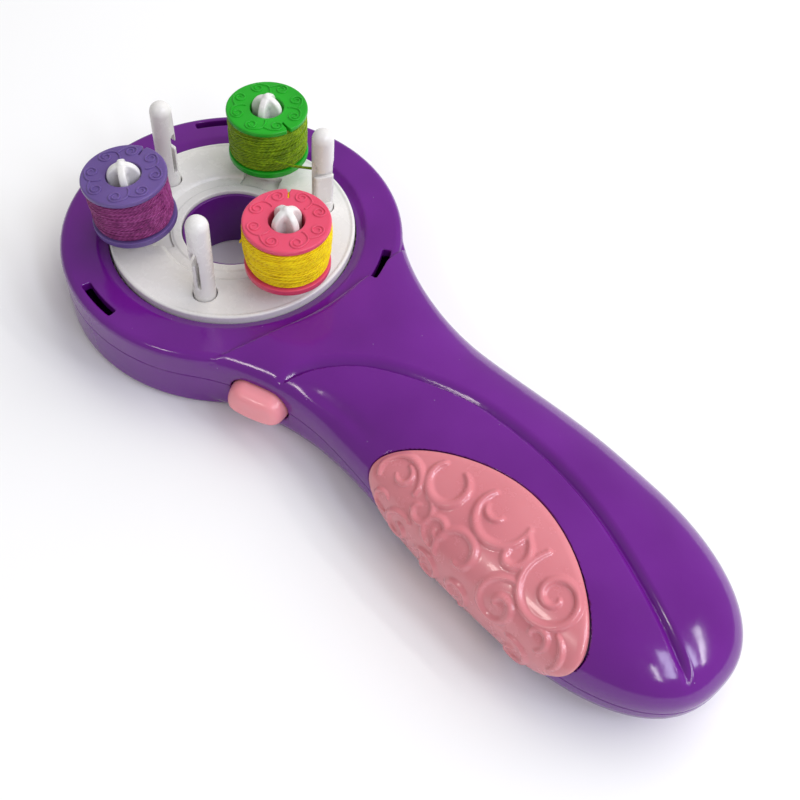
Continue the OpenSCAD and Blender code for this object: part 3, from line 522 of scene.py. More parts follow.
def shell(name, level, fine, rows_out, heights, crease_rows, outside):
    """One shell of the case: its outside and edges finely, and the hollow's wall coarsely."""
    parts = []
    for scale, outer in ((fine, True), (2.4 * fine, False)):
        step = 1 if outer else 2.4
        rows = np.full(int(132.5 / (rows_out * step)) + 1, rows_out * step)
        z = np.concatenate([np.arange(lo, hi, gap * (1 if outer or gap < 0.3 else 2)) for lo, hi, gap in heights])
        p, f, n = net(level, *case_grid_with(scale, rows, crease_rows, z))
        deep = (np.abs(room(p[:, 0], p[:, 1], p[:, 2])) < 0.15) & (outside(p[:, 0], p[:, 1], p[:, 2]) < -WALL + 0.9)
        inner = deep[f].all(1)
        f = f[~inner] if outer else f[inner]
        used, f = np.unique(f, return_inverse=True)
        parts.append((p[used], f.reshape(-1, 4), n[used]))
    (p, f, n), (q, g, m) = parts
    return new_mesh(name, np.vstack([p, q]), np.vstack([f, g + len(p)]), np.vstack([n, m]))


def box_grid(low, high, step):
    """Plan places and levels of a plain grid over a box, with room round it."""
    (x0, y0, z0), (x1, y1, z1) = low, high
    x = np.arange(x0 - step, x1 + 1.5 * step, step)
    y = np.arange(y0 - step, y1 + 1.5 * step, step)
    z = np.arange(z0 - step, z1 + 1.5 * step, step)
    plan = np.stack(np.meshgrid(x, y, indexing="ij"), -1)
    return plan, z, len(x), np.ones(len(y), bool)


def solid(name, level, low, high, step):
    """A mesh of a small implicit form on a plain grid."""
    return new_mesh(name, *net(level, *box_grid(low, high, step), reach=step * 0.7))


def disc_grid(low_r, high_r, step, columns, low_z, high_z, step_z):
    """Plan places and levels of a round grid about Z."""
    r = np.arange(low_r, high_r + step, step)
    a = np.linspace(-math.pi, math.pi, columns, endpoint=False)
    plan = np.stack([np.outer(r, np.cos(a)), np.outer(r, np.sin(a))], -1)
    z = np.arange(low_z, high_z + step_z, step_z)
    return plan, z, len(r), np.ones(columns, bool)


def tube(path, radius, sides=7, flat=1.0, ends=True):
    """Points, faces and UVs of a tube along a path; radius may vary along it. u runs with length in metres."""
    p = np.array(path, float)
    n = len(p)
    along = np.gradient(p, axis=0)
    along /= np.linalg.norm(along, axis=1)[:, None]
    up = np.tile((0.0, 0.0, 1.0), (n, 1))
    side = np.cross(up, along)
    side /= np.maximum(np.linalg.norm(side, axis=1), 1e-6)[:, None]
    top = np.cross(along, side)
    a = np.linspace(0, 2 * math.pi, sides, endpoint=False)
    r = np.broadcast_to(radius, n)[:, None, None]
    ring = p[:, None] + r * (np.cos(a)[None, :, None] * side[:, None] + flat * np.sin(a)[None, :, None] * top[:, None])
    faces = grid_faces(n, sides, closed=True, flip=True)
    if ends:
        faces += [tuple(range(sides)), tuple(range((n - 1) * sides, n * sides))[::-1]]
    run = np.concatenate([[0], np.cumsum(np.linalg.norm(np.diff(p, axis=0), axis=1))]) * MM
    return ring.reshape(-1, 3), faces, run


def tubes(name, paths, radii, sides=7, flat=1.0):
    """One mesh of many tubes, with UVs: u is the length along a strand in metres, v the turn round it."""
    points, faces, uvs, base = [], [], [], 0
    for k, (path, radius) in enumerate(zip(paths, radii)):
        p, f, run = tube(path, radius, sides, flat)
        points.append(p)
        for face in f:
            faces.append(tuple(v + base for v in face))
            cols = [v % sides for v in face]
            wrap = max(cols) - min(cols) > 1 and len(face) == 4
            for v, c in zip(face, cols):
                uvs += [run[v // sides] + 0.013 * k, (c + sides if wrap and c == 0 else c) / sides]
        base += len(p)
    obj = new_mesh(name, np.vstack(points), faces)
    obj.data.uv_layers.new(name="strand").data.foreach_set("uv", uvs)
    return obj


def join(name, objs):
    """Joins mesh objects into one, keeping their normals."""
    with bpy.context.temp_override(active_object=objs[0], selected_editable_objects=objs):
        bpy.ops.object.join()
    objs[0].name = name
    objs[0].data.name = name
    return objs[0]


def finish_piece(obj, body, slot, material, *replaces):
    """Turns a piece's faces outward, and gives it its material, the body it rides on and the CAD nodes
    it stands for."""
    bm = bmesh.new()
    bm.from_mesh(obj.data)
    inside_out = bm.calc_volume(signed=True) < 0
    bm.free()
    if inside_out:
        print("turned", obj.name)
        obj.data.flip_normals()
    obj.data.materials.clear()
    obj.data.materials.append(material)
    if body:
        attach(obj, body)
    if replaces:
        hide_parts(*replaces)
    return obj


def at_spindle(k):
    """Frame on a spindle's axis at the disc's top, in millimetres."""
    turn = Matrix.Rotation(math.radians(BOBBIN_ANGLES[k]), 4, "Z")
    lean = Matrix.Rotation(math.radians(BOBBIN_LEANS[k]), 4, "Y")
    return turn @ Matrix.Translation((BOBBIN_ORBIT * MM, 0, DISC_TOP * MM)) @ lean


# Materials ----------------------------------------------------------------------------------

def hexed(code, alpha=1.0):
    """Linear colour from an sRGB hex value."""
    c = [int(code[i:i + 2], 16) / 255 for i in (1, 3, 5)]
    return tuple(v / 12.92 if v <= 0.04045 else ((v + 0.055) / 1.055) ** 2.4 for v in c) + (alpha,)


def add(tree, kind, inputs=None, **settings):
    """Adds a node with its settings; each input is a value or another node's output."""
    node = tree.nodes.new(kind)
    for key, value in settings.items():
        setattr(node, key, value)
    for key, value in (inputs or {}).items():
        if isinstance(value, bpy.types.NodeSocket):
            tree.links.new(value, node.inputs[key])
        else:
            node.inputs[key].default_value = value
    return node


def begin(name):
    """A new material with its tree and object coordinates."""
    mat = bpy.data.materials.new(name)
    mat.use_nodes = True
    mat.node_tree.nodes.clear()
    where = add(mat.node_tree, "ShaderNodeTexCoord")
    return mat, mat.node_tree, where


def end(mat, tree, shader):
    add(tree, "ShaderNodeOutputMaterial", {"Surface": shader.outputs[0]})
    return mat


def moulded(name, light, dark, rough, peel=0.02, grain=0.0, specks=0.0, ior=1.53, coat=0.0, sss=0.0):
    """Injection-moulded plastic: a slow drift of colour where the melt cooled, a faint orange-peel
    waviness about 3 mm long, fine matt grain where the tool was blasted, and uneven gloss from handling."""
    mat, tree, where = begin(name)
    at = where.outputs["Object"]
    drift = add(tree, "ShaderNodeTexNoise", {"Vector": at, "Scale": 45.0, "Detail": 2.0, "Roughness": 0.5})
    tint = add(tree, "ShaderNodeValToRGB", {"Fac": drift.outputs["Fac"]})
    tint.color_ramp.elements[0].position, tint.color_ramp.elements[1].position = 0.3, 0.7
    tint.color_ramp.elements[0].color, tint.color_ramp.elements[1].color = dark, light
    rub = add(tree, "ShaderNodeTexNoise", {"Vector": at, "Scale": 260.0, "Detail": 4.0, "Roughness": 0.65})
    gloss = add(tree, "ShaderNodeMapRange", {"Value": rub.outputs["Fac"], "From Min": 0.3, "From Max": 0.75,
                                             "To Min": rough * 0.82, "To Max": rough * 1.25})
    wave = add(tree, "ShaderNodeTexNoise", {"Vector": at, "Scale": 330.0, "Detail": 1.0})
    bump = add(tree, "ShaderNodeBump", {"Height": wave.outputs["Fac"], "Strength": peel, "Distance": 0.0006})
    normal = bump.outputs["Normal"]
    if grain:
        fine = add(tree, "ShaderNodeTexNoise", {"Vector": at, "Scale": 2600.0, "Detail": 2.0})
        bump = add(tree, "ShaderNodeBump", {"Height": fine.outputs["Fac"], "Strength": grain,
                                            "Distance": 0.0002, "Normal": normal})
        normal = bump.outputs["Normal"]
    base = tint.outputs["Color"]
    if specks:
        cells = add(tree, "ShaderNodeTexVoronoi", {"Vector": at, "Scale": 480.0, "Randomness": 1.0})
        pick = add(tree, "ShaderNodeSeparateColor", {"Color": cells.outputs["Color"]})
        near = add(tree, "ShaderNodeMath", {0: cells.outputs["Distance"], 1: 0.055}, operation="LESS_THAN")
        few = add(tree, "ShaderNodeMath", {0: pick.outputs["Red"], 1: 1 - specks}, operation="GREATER_THAN")
        speck = add(tree, "ShaderNodeMath", {0: near.outputs[0], 1: few.outputs[0]}, operation="MULTIPLY")
        soft = add(tree, "ShaderNodeMath", {0: speck.outputs[0], 1: 0.45}, operation="MULTIPLY")
        dusted = add(tree, "ShaderNodeMix", {"Factor": soft.outputs[0], "A": base, "B": hexed("#D9CFE2")},
                     data_type="RGBA")
        base = dusted.outputs["Result"]
    settings = {"Base Color": base, "Roughness": gloss.outputs[0], "IOR": ior, "Normal": normal}
    if coat:
        settings.update({"Coat Weight": coat, "Coat Roughness": 0.06, "Coat IOR": 1.5})
    if sss:
        settings.update({"Subsurface Weight": sss, "Subsurface Radius": (1.0, 0.6, 0.5), "Subsurface Scale": 0.0012})
    return end(mat, tree, add(tree, "ShaderNodeBsdfPrincipled", settings))


def spun(name, light, dark, bright):
    """Two-ply mercerised cotton: the plies show as slanting ribs about 1.4 mm apart, drawn a little
    coarser than real so that they show, with loose fibres that catch the light along the rim.
    The colour is painted lighter on each ply's crest and darker between the plies, as painted
    highlight and shade, over patches of uneven tone."""
    mat, tree, where = begin(name)
    uv = add(tree, "ShaderNodeUVMap", uv_map="strand")
    split = add(tree, "ShaderNodeSeparateXYZ", {"Vector": uv.outputs["UV"]})
    along = add(tree, "ShaderNodeMath", {0: split.outputs["X"], 1: 2 * math.pi / 0.0014}, operation="MULTIPLY")
    around = add(tree, "ShaderNodeMath", {0: split.outputs["Y"], 1: 4 * math.pi}, operation="MULTIPLY")
    phase = add(tree, "ShaderNodeMath", {0: along.outputs[0], 1: around.outputs[0]}, operation="ADD")
    twist = add(tree, "ShaderNodeMath", {0: phase.outputs[0]}, operation="SINE")
    fuzz = add(tree, "ShaderNodeTexNoise", {"Vector": where.outputs["Object"], "Scale": 3800.0, "Detail": 3.0})
    height = add(tree, "ShaderNodeMath", {0: twist.outputs[0], 1: 0.5, 2: fuzz.outputs["Fac"]},
                 operation="MULTIPLY_ADD")
    bump = add(tree, "ShaderNodeBump", {"Height": height.outputs[0], "Strength": 0.75, "Distance": 0.00012})
    patch = add(tree, "ShaderNodeTexNoise", {"Vector": where.outputs["Object"], "Scale": 420.0, "Detail": 2.0})
    # painted highlight and shade: the ply twist moves the colour towards the bright end on each crest and towards the
    # dark end between plies; the noise patches add uneven tone
    ply_shade_and_patch = add(tree, "ShaderNodeMath", {0: twist.outputs[0], 1: 0.17, 2: patch.outputs["Fac"]},
                operation="MULTIPLY_ADD")
    tint = add(tree, "ShaderNodeValToRGB", {"Fac": ply_shade_and_patch.outputs[0]})
    ramp = tint.color_ramp.elements
    ramp[0].position, ramp[1].position = 0.15, 0.9
    ramp[0].color, ramp[1].color = dark, bright
    ramp.new(0.5).color = light
    shader = add(tree, "ShaderNodeBsdfPrincipled", {
        "Base Color": tint.outputs["Color"], "Roughness": 0.55, "Normal": bump.outputs["Normal"],
        "Specular IOR Level": 0.35, "IOR": 1.45})
    return end(mat, tree, shader)


def metal(name, light, dark, rough, scratch=0.3, stretch=(1, 1, 14)):
    """Bare or plated metal: fine lines from drawing or turning, and cloudy patches of dulling."""
    mat, tree, where = begin(name)
    lines = add(tree, "ShaderNodeMapping", {"Vector": where.outputs["Object"], "Scale": stretch})
    fine = add(tree, "ShaderNodeTexNoise", {"Vector": lines.outputs["Vector"], "Scale": 900.0, "Detail": 3.0})
    cloud = add(tree, "ShaderNodeTexNoise", {"Vector": where.outputs["Object"], "Scale": 160.0, "Detail": 3.0})
    tint = add(tree, "ShaderNodeValToRGB", {"Fac": cloud.outputs["Fac"]})
    tint.color_ramp.elements[0].color, tint.color_ramp.elements[1].color = dark, light
    dull = add(tree, "ShaderNodeMapRange", {"Value": fine.outputs["Fac"], "To Min": rough * 0.7, "To Max": rough * 1.4})
    bump = add(tree, "ShaderNodeBump", {"Height": fine.outputs["Fac"], "Strength": scratch, "Distance": 0.00005})
    shader = add(tree, "ShaderNodeBsdfPrincipled", {
        "Base Color": tint.outputs["Color"], "Metallic": 1.0, "Roughness": dull.outputs[0],
        "Normal": bump.outputs["Normal"]})
    return end(mat, tree, shader)


def shrink_label(name):
    """PVC sleeve shrunk on a zinc can: satin dark grey with a warm band at one end."""
    mat, tree, where = begin(name)
    split = add(tree, "ShaderNodeSeparateXYZ", {"Vector": where.outputs["Object"]})
    band = add(tree, "ShaderNodeMath", {0: split.outputs["X"], 1: 0.139}, operation="GREATER_THAN")
    cloud = add(tree, "ShaderNodeTexNoise", {"Vector": where.outputs["Object"], "Scale": 140.0, "Detail": 2.0})
    base = add(tree, "ShaderNodeMix", {"Factor": band.outputs[0], "A": hexed("#2E3238"), "B": hexed("#B9853A")},
               data_type="RGBA")
    dull = add(tree, "ShaderNodeMapRange", {"Value": cloud.outputs["Fac"], "To Min": 0.3, "To Max": 0.45})
    shader = add(tree, "ShaderNodeBsdfPrincipled", {
        "Base Color": base.outputs["Result"], "Metallic": 0.3, "Roughness": dull.outputs[0]})
    return end(mat, tree, shader)


# Shapes of the pieces -----------------------------------------------------------------------

def curl(u, v, start, turn, r0, r1, width, ease=1.0):
    """A scroll line: a spiral round (u, v) from an angle, through a turn, between two radii; width is its half width."""
    t = np.linspace(0, 1, 60 + int(abs(turn) / 2.5))
    a = np.radians(start + turn * t)
    r = r0 + (r1 - r0) * t ** ease
    swell = width * (0.4 + 0.6 * np.sin(np.pi * np.clip(t * 0.9 + 0.08, 0, 1)) ** 0.6)
    return np.stack([u + r * np.cos(a), v + r * np.sin(a), swell], 1)


# Scroll lines of the inlay, in millimetres along the handle and round it from the inlay's middle
SCROLLS = [
    (-26.5, 4, 212, -215, 6.4, 5.8, 1.2), (-26.5, 5.5, 90, -225, 2.6, 2.2, 0.9),
    (-15.8, 12, 146, 290, 5.8, 4.8, 1.3), (-2.5, 15.5, -20, -150, 2.5, 2.7, 0.9),
    (0, 15, 150, 225, 7, 6.8, 1.2), (-16.8, 2, 100, -330, 3.9, 1.5, 0.9),
    (-10.2, 1.6, -69, -450, 4.6, 0.8, 0.9), (-2.3, 1.2, 222, -305, 7, 2.3, 1.1),
    (7.5, 9.8, 97, -297, 7.5, 1, 1.1, 0.4), (21.5, 9.5, 140, 590, 10.8, 1.2, 1.1, 0.7),
    (12.8, -1, 200, -480, 1, 7, 1.1), (24, -0.5, 195, -255, 1.5, 3.6, 0.9),
    (26, -2, 72, -110, 5.6, 5.6, 0.9), (-20, -7.5, 60, 420, 5.2, 1, 1), (-8.5, -10, 150, -400, 5, 0.9, 1),
    (1.5, -8.5, -60, 400, 4.6, 0.8, 1), (21, -10.5, 120, -380, 5, 1, 1), (-27, -4, -60, -260, 4, 1.4, 0.8),
]


def section_point(x, t, grow):
    """A point on the near side of the handle at an angle about the joint line, in degrees."""
    up = t >= 0
    crown_n, belly_n = section_powers(x)
    e = 2 / np.where(up, crown_n, belly_n)
    h = np.where(up, RING_TOP + crest_soft(x) - JOINT_Z, BELLY)
    c, s = np.cos(np.radians(t)), np.sin(np.radians(t))
    return np.stack(np.broadcast_arrays(x, -(plan_half(x) + grow) * np.maximum(c, 0) ** e,
                                        JOINT_Z + (h + grow) * np.sign(s) * np.abs(s) ** e), -1)


def inlay_mesh(name, proud, ridge):
    """The grip inlay: a thin patch on the handle's skin with raised scrolls and a rounded edge."""
    columns, rows = int(276 / COARSE), int(170 / COARSE)
    angle = np.linspace(0.02, math.pi - 0.02, columns)
    v = np.sin(np.linspace(-math.pi / 2, math.pi / 2, rows)) * 0.5 + np.linspace(-1, 1, rows) * 0.5
    v = v / np.abs(v).max()
    x = GRIP_X - INLAY_HALF * np.cos(angle)[:, None] + 0 * v[None, :]
    t = INLAY_MID + INLAY_REACH * np.sin(angle)[:, None] * v[None, :]
    turns = np.linspace(INLAY_MID - INLAY_REACH, INLAY_MID + INLAY_REACH, 200)
    arc = section_point(np.full(200, GRIP_X), turns, 0.0)
    run = np.concatenate([[0], np.cumsum(np.linalg.norm(np.diff(arc, axis=0), axis=1))])
    run = run - np.interp(INLAY_MID, turns, run)
    flat = np.stack([x - GRIP_X, np.interp(t, turns, run)], -1).reshape(-1, 2)
    height = np.zeros(len(flat))
    for line in SCROLLS:
        c = curl(*line)
        low, high = c[:, :2].min(0) - 2, c[:, :2].max(0) + 2
        near = np.nonzero(((flat > low) & (flat < high)).all(1))[0]
        d = np.linalg.norm(flat[near, None] - c[None, :, :2], axis=2)
        k = d.argmin(1)
        w = c[k, 2]
        rise = ridge * np.clip(1 - (d.min(1) / w) ** 2, 0, 1) ** 0.7 * np.minimum(1, w / 0.9)
        height[near] = np.maximum(height[near], rise)
    e = np.sqrt(((x - GRIP_X) / INLAY_HALF) ** 2 + ((t - INLAY_MID) / INLAY_REACH) ** 2).ravel()
    rim = np.clip((1 - e) * 24, 0, 1.4) / 1.4
    height = height.reshape(x.shape)
    height = (height + np.roll(height, 1, 0) + np.roll(height, -1, 0)
              + np.roll(height, 1, 1) + np.roll(height, -1, 1)) / 5
    rise = (height.ravel() * smooth(rim * 1.2) + proud - 0.9 * (1 - np.sqrt(1 - (1 - rim) ** 2)))
    top = section_point(x, t, rise.reshape(x.shape)).reshape(-1, 3)
    low = section_point(x, t, -1.25).reshape(-1, 3)
    n = columns * rows
    faces = grid_faces(columns, rows)
    faces += [tuple(v + n for v in f[::-1]) for f in grid_faces(columns, rows)]
    edge = [i * rows for i in range(columns)] + [(columns - 1) * rows + j for j in range(1, rows)] \
        + [i * rows + rows - 1 for i in range(columns - 2, -1, -1)] + [j for j in range(rows - 2, 0, -1)]
    faces += [(b, a, a + n, b + n) for a, b in zip(edge, edge[1:] + edge[:1])]
    return edge_smooth(new_mesh(name, np.vstack([top, low]), faces), 60)


def disc_level(x, y, z):
    """The turntable: a disc with a dish, a lip, needle holes and pockets, on a sleeve."""
    r = np.hypot(x, y)
    plate = smax(np.maximum(r - DISC_R, DISC_UNDER - z), z - DISC_TOP, 0.5)
    lip = np.hypot(r - (DISC_R - 0.7), (z - DISC_TOP + 0.25)) - 0.5
    plate = smin(plate, lip, 0.4)
    cone = ((r - 21.6) - (z - DISH_Z) * 0.8) * 0.78
    plate = smax(plate, -np.maximum(cone, DISH_Z - z), 0.7)
    sleeve = smax(r - 18.7, z - DISH_Z - 0.3, 0.7)
    sleeve = np.maximum(sleeve, 4.3 - z)
    form = smin(plate, sleeve, 0.25)
    form = smax(form, 15.75 - r, 0.5)
    for a in NEEDLE_ANGLES:
        c, s = math.cos(math.radians(a)), math.sin(math.radians(a))
        d = np.hypot(x - NEEDLE_ORBIT * c, y - NEEDLE_ORBIT * s)
        form = smax(form, NEEDLE_R + 0.3 - d, 0.3)
    for a in BOBBIN_ANGLES:
        c, s = math.cos(math.radians(a)), math.sin(math.radians(a))
        u, v = x * c + y * s, -x * s + y * c
        pocket = np.maximum(smax(np.maximum(19.2 - r, u - 24.4), np.abs(v) - 6, 0.4), np.maximum(-u, 20.7 - z))
        form = smax(form, -pocket, 0.3)
    return form


def spindle_level(x, y, z):
    """A spindle: a round pedestal, and a post of four ribs under a dome with a small knob on top."""
    r = np.hypot(x, y)
    foot = smax(np.maximum(r - 6.5, -0.02 - z), z - 5.8, 0.6)
    top = 28.1
    body = np.where(z > top - 4.8, np.sqrt(r * r + (z - top + 4.8) ** 2) - 4.8, r - 4.8)
    cross = smin(np.abs(x) - 1.1, np.abs(y) - 1.1, 0.7)
    fill = np.sqrt(r * r + (z - top + 2.2) ** 2) - 2.1
    post = smax(body, smin(cross, fill, 0.6), 0.6)
    knob = np.maximum(np.hypot(r, np.maximum(z - 27.8, 0)) - 1.0, 20 - z)
    return np.maximum(smin(smin(foot, post, 0.8), knob, 0.6), -0.02 - z)


def needle_level(x, y, z):
    """A hook needle in its own frame: the hook opens to -Y, and the slit runs along X."""
    r = np.hypot(x, y)
    top = NEEDLE_TOP - NEEDLE_R
    body = np.where(z > top, np.sqrt(r * r + (z - top) ** 2) - NEEDLE_R, r - NEEDLE_R)
    body = np.maximum(body, 16.05 - z)
    throat, barb, mouth, low = NEEDLE_TOP - 11.1, NEEDLE_TOP - 14.4, NEEDLE_TOP - 16.4, NEEDLE_TOP - 25.5
    wide = 1.15
    # throat: a slot up into the hook, round at its top
    slot = np.maximum(np.hypot(y + 0.95, np.maximum(z - throat + 0.95, 0)) - 0.95, barb - 1 - z)
    body = smax(body, -slot, 0.35)
    # mouth: open to the outside below the barb
    gap = smax(smax(z - barb + 0.35 * (y + 1.9), mouth - z, 0.3), y + 0.2, 0.5)
    body = smax(body, -gap, 0.35)
    # slit below it
    middle = -0.28
    slit = np.maximum(np.hypot(y - middle, np.maximum(low + wide / 2 - z, 0)) - wide / 2, z - barb)
    body = smax(body, -slit, 0.3)
    # tongue: the strip left of the slit stands back a little
    strip = smax(np.maximum(y + 2.15, low - 1.4 + (-2.15 - y) - z), z - mouth - 0.4, 0.5)
    body = smax(body, -strip, 0.5)
    bore = np.maximum(r - 1.5, z - 21)
    return smax(body, -bore, 0.2)


def button_level(u, h, n):
    """The push button in its own frame: u along the wall, h up, n out of the wall."""
    flank = stadium(u, h, 9 - 0.16 * np.maximum(n, 0), 5.2 - 0.1 * np.maximum(n, 0))
    upper = n - (6.1 - 0.22 * (h + 1.4))
    lower = n - (6.1 + 0.8 * (h + 1.4))
    crown = smax(upper, lower, 0.4) + 0.014 * u * u
    return np.maximum(smax(flank, crown, 2.6), -3 - n)


def bobbin_frame(k):
    """Frame on a bobbin's axis at its underside."""
    return at_spindle(k) @ Matrix.Translation((0, 0, (BOBBIN_Z - DISC_TOP) * MM))


def bobbin_level(slit):
    """A bobbin with rounded rims and a slit in its top flange that holds the thread's end."""
    c, s = math.cos(math.radians(slit)), math.sin(math.radians(slit))

    def level(x, y, z):
        r = np.hypot(x, y)
        flat = smax(r - BOBBIN_R, np.abs(z - BOBBIN_H / 2) - BOBBIN_H / 2, 0.7)
        groove = smax(smax(6.35 - r, 2.2 - z, 0.2), z - BOBBIN_H + 1.6, 0.2)
        form = smax(flat, -groove, 0.35)
        form = smax(form, BORE_R - r, 0.5)
        u, v = x * c + y * s, -x * s + y * c
        notch = np.maximum(np.abs(v) - 0.28 - 0.45 * np.clip((u - 11.2) / 1.3, 0, 1), np.maximum(8.6 - u, 9 - z))
        return smax(form, -notch, 0.2)
    return level


def bobbin_curls(name, turn, top):
    """Raised scrolls on a flange: four linked pairs of spirals, two of them mirrored."""
    paths = []
    for pair in range(4):
        flip = -1 if pair < 2 else 1
        for side in (-1, 1):
            t = np.linspace(0, 1, 44)
            a = np.radians(-500 + 505 * t)
            r = 0.5 + 1.4 * t ** 0.8
            u, v = 9.35 + r * np.cos(a), -3.8 + r * np.sin(a)
            tail = [(10.75, -2.0), (9.9, -0.6), (8.6, 0.15), (7.3, 0.45), (6.4, 0.25)] if side < 0 \
                else [(10.7, -2.0), (10.0, -0.75), (9.5, 0.0)]
            line = np.vstack([np.stack([u, v], 1), spline([(u[-1], v[-1])] + tail, 5)[1:]])
            line[:, 1] *= -side * flip
            a = np.radians(turn + 45 + 90 * pair) + line[:, 1] / 9.35
            paths.append(np.stack([line[:, 0] * np.cos(a), line[:, 0] * np.sin(a), np.full(len(a), top)], 1))
    return tubes(name, paths, [0.3 * np.sin(np.pi * np.clip(np.linspace(0.12, 1.9, len(q)), 0, 0.5)) + 0.02
                               for q in paths], 8, 1.0)


# Edges of each winding against the flange's edge, at its bottom, middle and top
WOUND = [(-1, 0.1, -0.1), (-0.5, -0.3, -0.4), (-0.8, -0.6, -0.7)]


def wound_r(k, t):
    low, mid, high = WOUND[k]
    return BOBBIN_R + low * (1 - t) * (1 - 2 * t) + 4 * mid * t * (1 - t) + high * t * (2 * t - 1)


def winding_paths(k, strand, turns, loops):
    """Centre lines of the wound thread: close turns, and loose turns that cross over them."""
    rng = np.random.default_rng(40 + k)
    low, high = 2.2 + strand * 0.6, 16.4 - strand * 0.6
    t = np.linspace(0, 1, int(turns * 44 / COARSE))
    a = 2 * math.pi * turns * t
    phase = rng.uniform(0, 6.3, 4)
    z = low + (high - low) * t + 0.16 * np.sin(a * 1.03 + phase[0]) * np.sin(np.pi * t)
    r = wound_r(k, (z - 2.2) / 14.2) - strand * 0.62 + 0.1 * np.sin(a * 0.37 + phase[1]) \
        + 0.06 * np.sin(a * 2.9 + phase[2])
    paths = [np.stack([r * np.cos(a), r * np.sin(a), z], 1)]
    for n in range(loops):
        start, sweep = rng.uniform(0, 6.3), rng.uniform(2.6, 5.6)
        z0 = low + 0.4 + (high - low - 0.8) * ((n + 0.5) / loops)
        z1 = np.clip(z0 + rng.uniform(-3.2, 3.2), low + 0.2, high - 0.2)
        t = np.linspace(0, 1, int(40 / COARSE))
        a = start + sweep * t
        z = z0 + (z1 - z0) * smooth(t) + 0.2 * np.sin(a * 3 + n)
        lift = strand * (0.05 + 0.35 * np.sin(np.pi * t) ** 0.5)
        r = wound_r(k, np.clip((z - 2.2) / 14.2, 0, 1)) - strand * 0.55 + lift - 0.5 * strand * (np.abs(2 * t - 1) ** 8)
        paths.append(np.stack([r * np.cos(a), r * np.sin(a), z], 1))
    return paths


def screw_level(x, y, z):
    """A pan-head screw seen from below, with a cross recess; the head's face is at zero."""
    r = np.hypot(x, y)
    head_form = np.maximum(np.sqrt(r * r + (z - 5.2) ** 2) - 5.2, np.maximum(r - 2.25, z - 1.8))
    head_form = smax(head_form, r - 2.2, 0.3)
    cross = np.minimum(np.maximum(np.abs(x) - 0.32, np.abs(y) - 1.45), np.maximum(np.abs(y) - 0.32, np.abs(x) - 1.45))
    cone = np.maximum(cross, r - 1.5 + 0.55 * z)
    return smax(head_form, -np.maximum(cone, z - 1.3), 0.08)


def profile_ring(points, r, steps=4):
    """A turned outline with small rounded corners."""
    return rounded(points, r, steps)


# Settings that a user would change --------------------------------------------------------------

def shade(label, words, code):
    return FloatVectorProperty(name=label, description=words, subtype="COLOR", size=4, min=0, max=1,
                               default=hexed(code))


def size(label, words, metres):
    return FloatProperty(name=label, description=words, default=metres, min=0, unit="LENGTH")


class KnitterCase(bpy.types.PropertyGroup):
    light: shade("Case colour", "Purple of the case in the light", "#6C1A8A")
    dark: shade("Case shade", "Purple of the case where the melt cooled darker", "#63137F")
    gloss: FloatProperty(name="Roughness", description="Roughness of the case", default=0.13, min=0, max=1)


class KnitterInlay(bpy.types.PropertyGroup):
    light: shade("Inlay colour", "Pink of the grip inlay and button", "#DF8890")
    dark: shade("Inlay shade", "Darker pink of the grip inlay", "#D87E87")
    proud: size("Proud", "How far the inlay stands out of the handle", 0.0007)
    ridge: size("Ridge", "Height of the raised scrolls", 0.0009)


class KnitterHead(bpy.types.PropertyGroup):
    white: shade("White", "White of the turntable, spindles and needles", "#E9E7E5")
    shadow: shade("White shade", "Slightly warmer white", "#E5E2DF")


class KnitterThread(bpy.types.PropertyGroup):
    strand: size("Strand", "Thickness of the wound thread", 0.00062)
    turns: FloatProperty(name="Turns", description="Close turns that show on a bobbin", default=22.6, min=4, max=40)
    loops: FloatProperty(name="Loops", description="Loose turns that cross them", default=26, min=0, max=60)


class KnitterStage(bpy.types.PropertyGroup):
    place: FloatVectorProperty(name="Camera", description="Where the camera stands", subtype="XYZ", unit="LENGTH",
                               default=(0.186, -0.1242, 0.2461))
    lens: FloatProperty(name="Lens", description="Focal length", default=0.04569, min=0.01, unit="LENGTH")
    key: FloatProperty(name="Key light", description="Power of the main soft light", default=14.0, min=0, unit="POWER")


# Operators ------------------------------------------------------------------------------------

class KNITTER_OT_case(bpy.types.Operator):
    """Both shells of the case and the liner of the cord hole"""
    bl_idname = "knitter.case"
    bl_label = "Case"

    def execute(self, context):
        s = context.scene.knitter_case
        # ABS moulded in a polished tool: clear reflections with a faint waviness, and a few bits of dust
        abs_purple = moulded("purple_abs_polished_mould", s.light, s.dark, s.gloss, peel=0.05, specks=0.1)
        # the same ABS where it lines the cord hole and nothing has polished it
        abs_inner = moulded("purple_abs_inner", s.dark, s.dark, 0.35)
        fine = ((13.2, 14.2, 0.2), (14.2, 18.6, 0.55 * COARSE), (18.6, 30.5, 0.45 * COARSE))
        upper = shell("upper_case", upper_case, COARSE, 0.6 * COARSE, fine, True, skin)
        finish_piece(upper, "case", "case_purple", abs_purple, "upper_shell")
        low = ((-0.9, 3.4, 0.45 * COARSE), (3.4, 13, 0.8 * COARSE), (13, 14.1, 0.2))
        lower = shell("lower_case", lower_case, 1.2 * COARSE, 0.8 * COARSE, low, False,
                      lambda x, y, z: skin(x, y, z, False))
        finish_piece(lower, "case", "case_purple", abs_purple, "lower_shell")
        liner = lathe("cord_liner", rounded([(14.6, 0.3), (17.6, 0.3), (17.6, 1.2), (16.6, 2.15), (17.8, 2.2),
                                             (17.8, 4.0), (15.6, 4.0), (15.6, 20.6), (14.6, 20.6)],
                                            [0.4, 0.2, 0.1, 0, 0, 0.2, 0.2, 0.4, 0.4], 3), 120)
        finish_piece(edge_smooth(liner, 40), "case", "case_purple", abs_inner, "cord_tube")
        return {"FINISHED"}


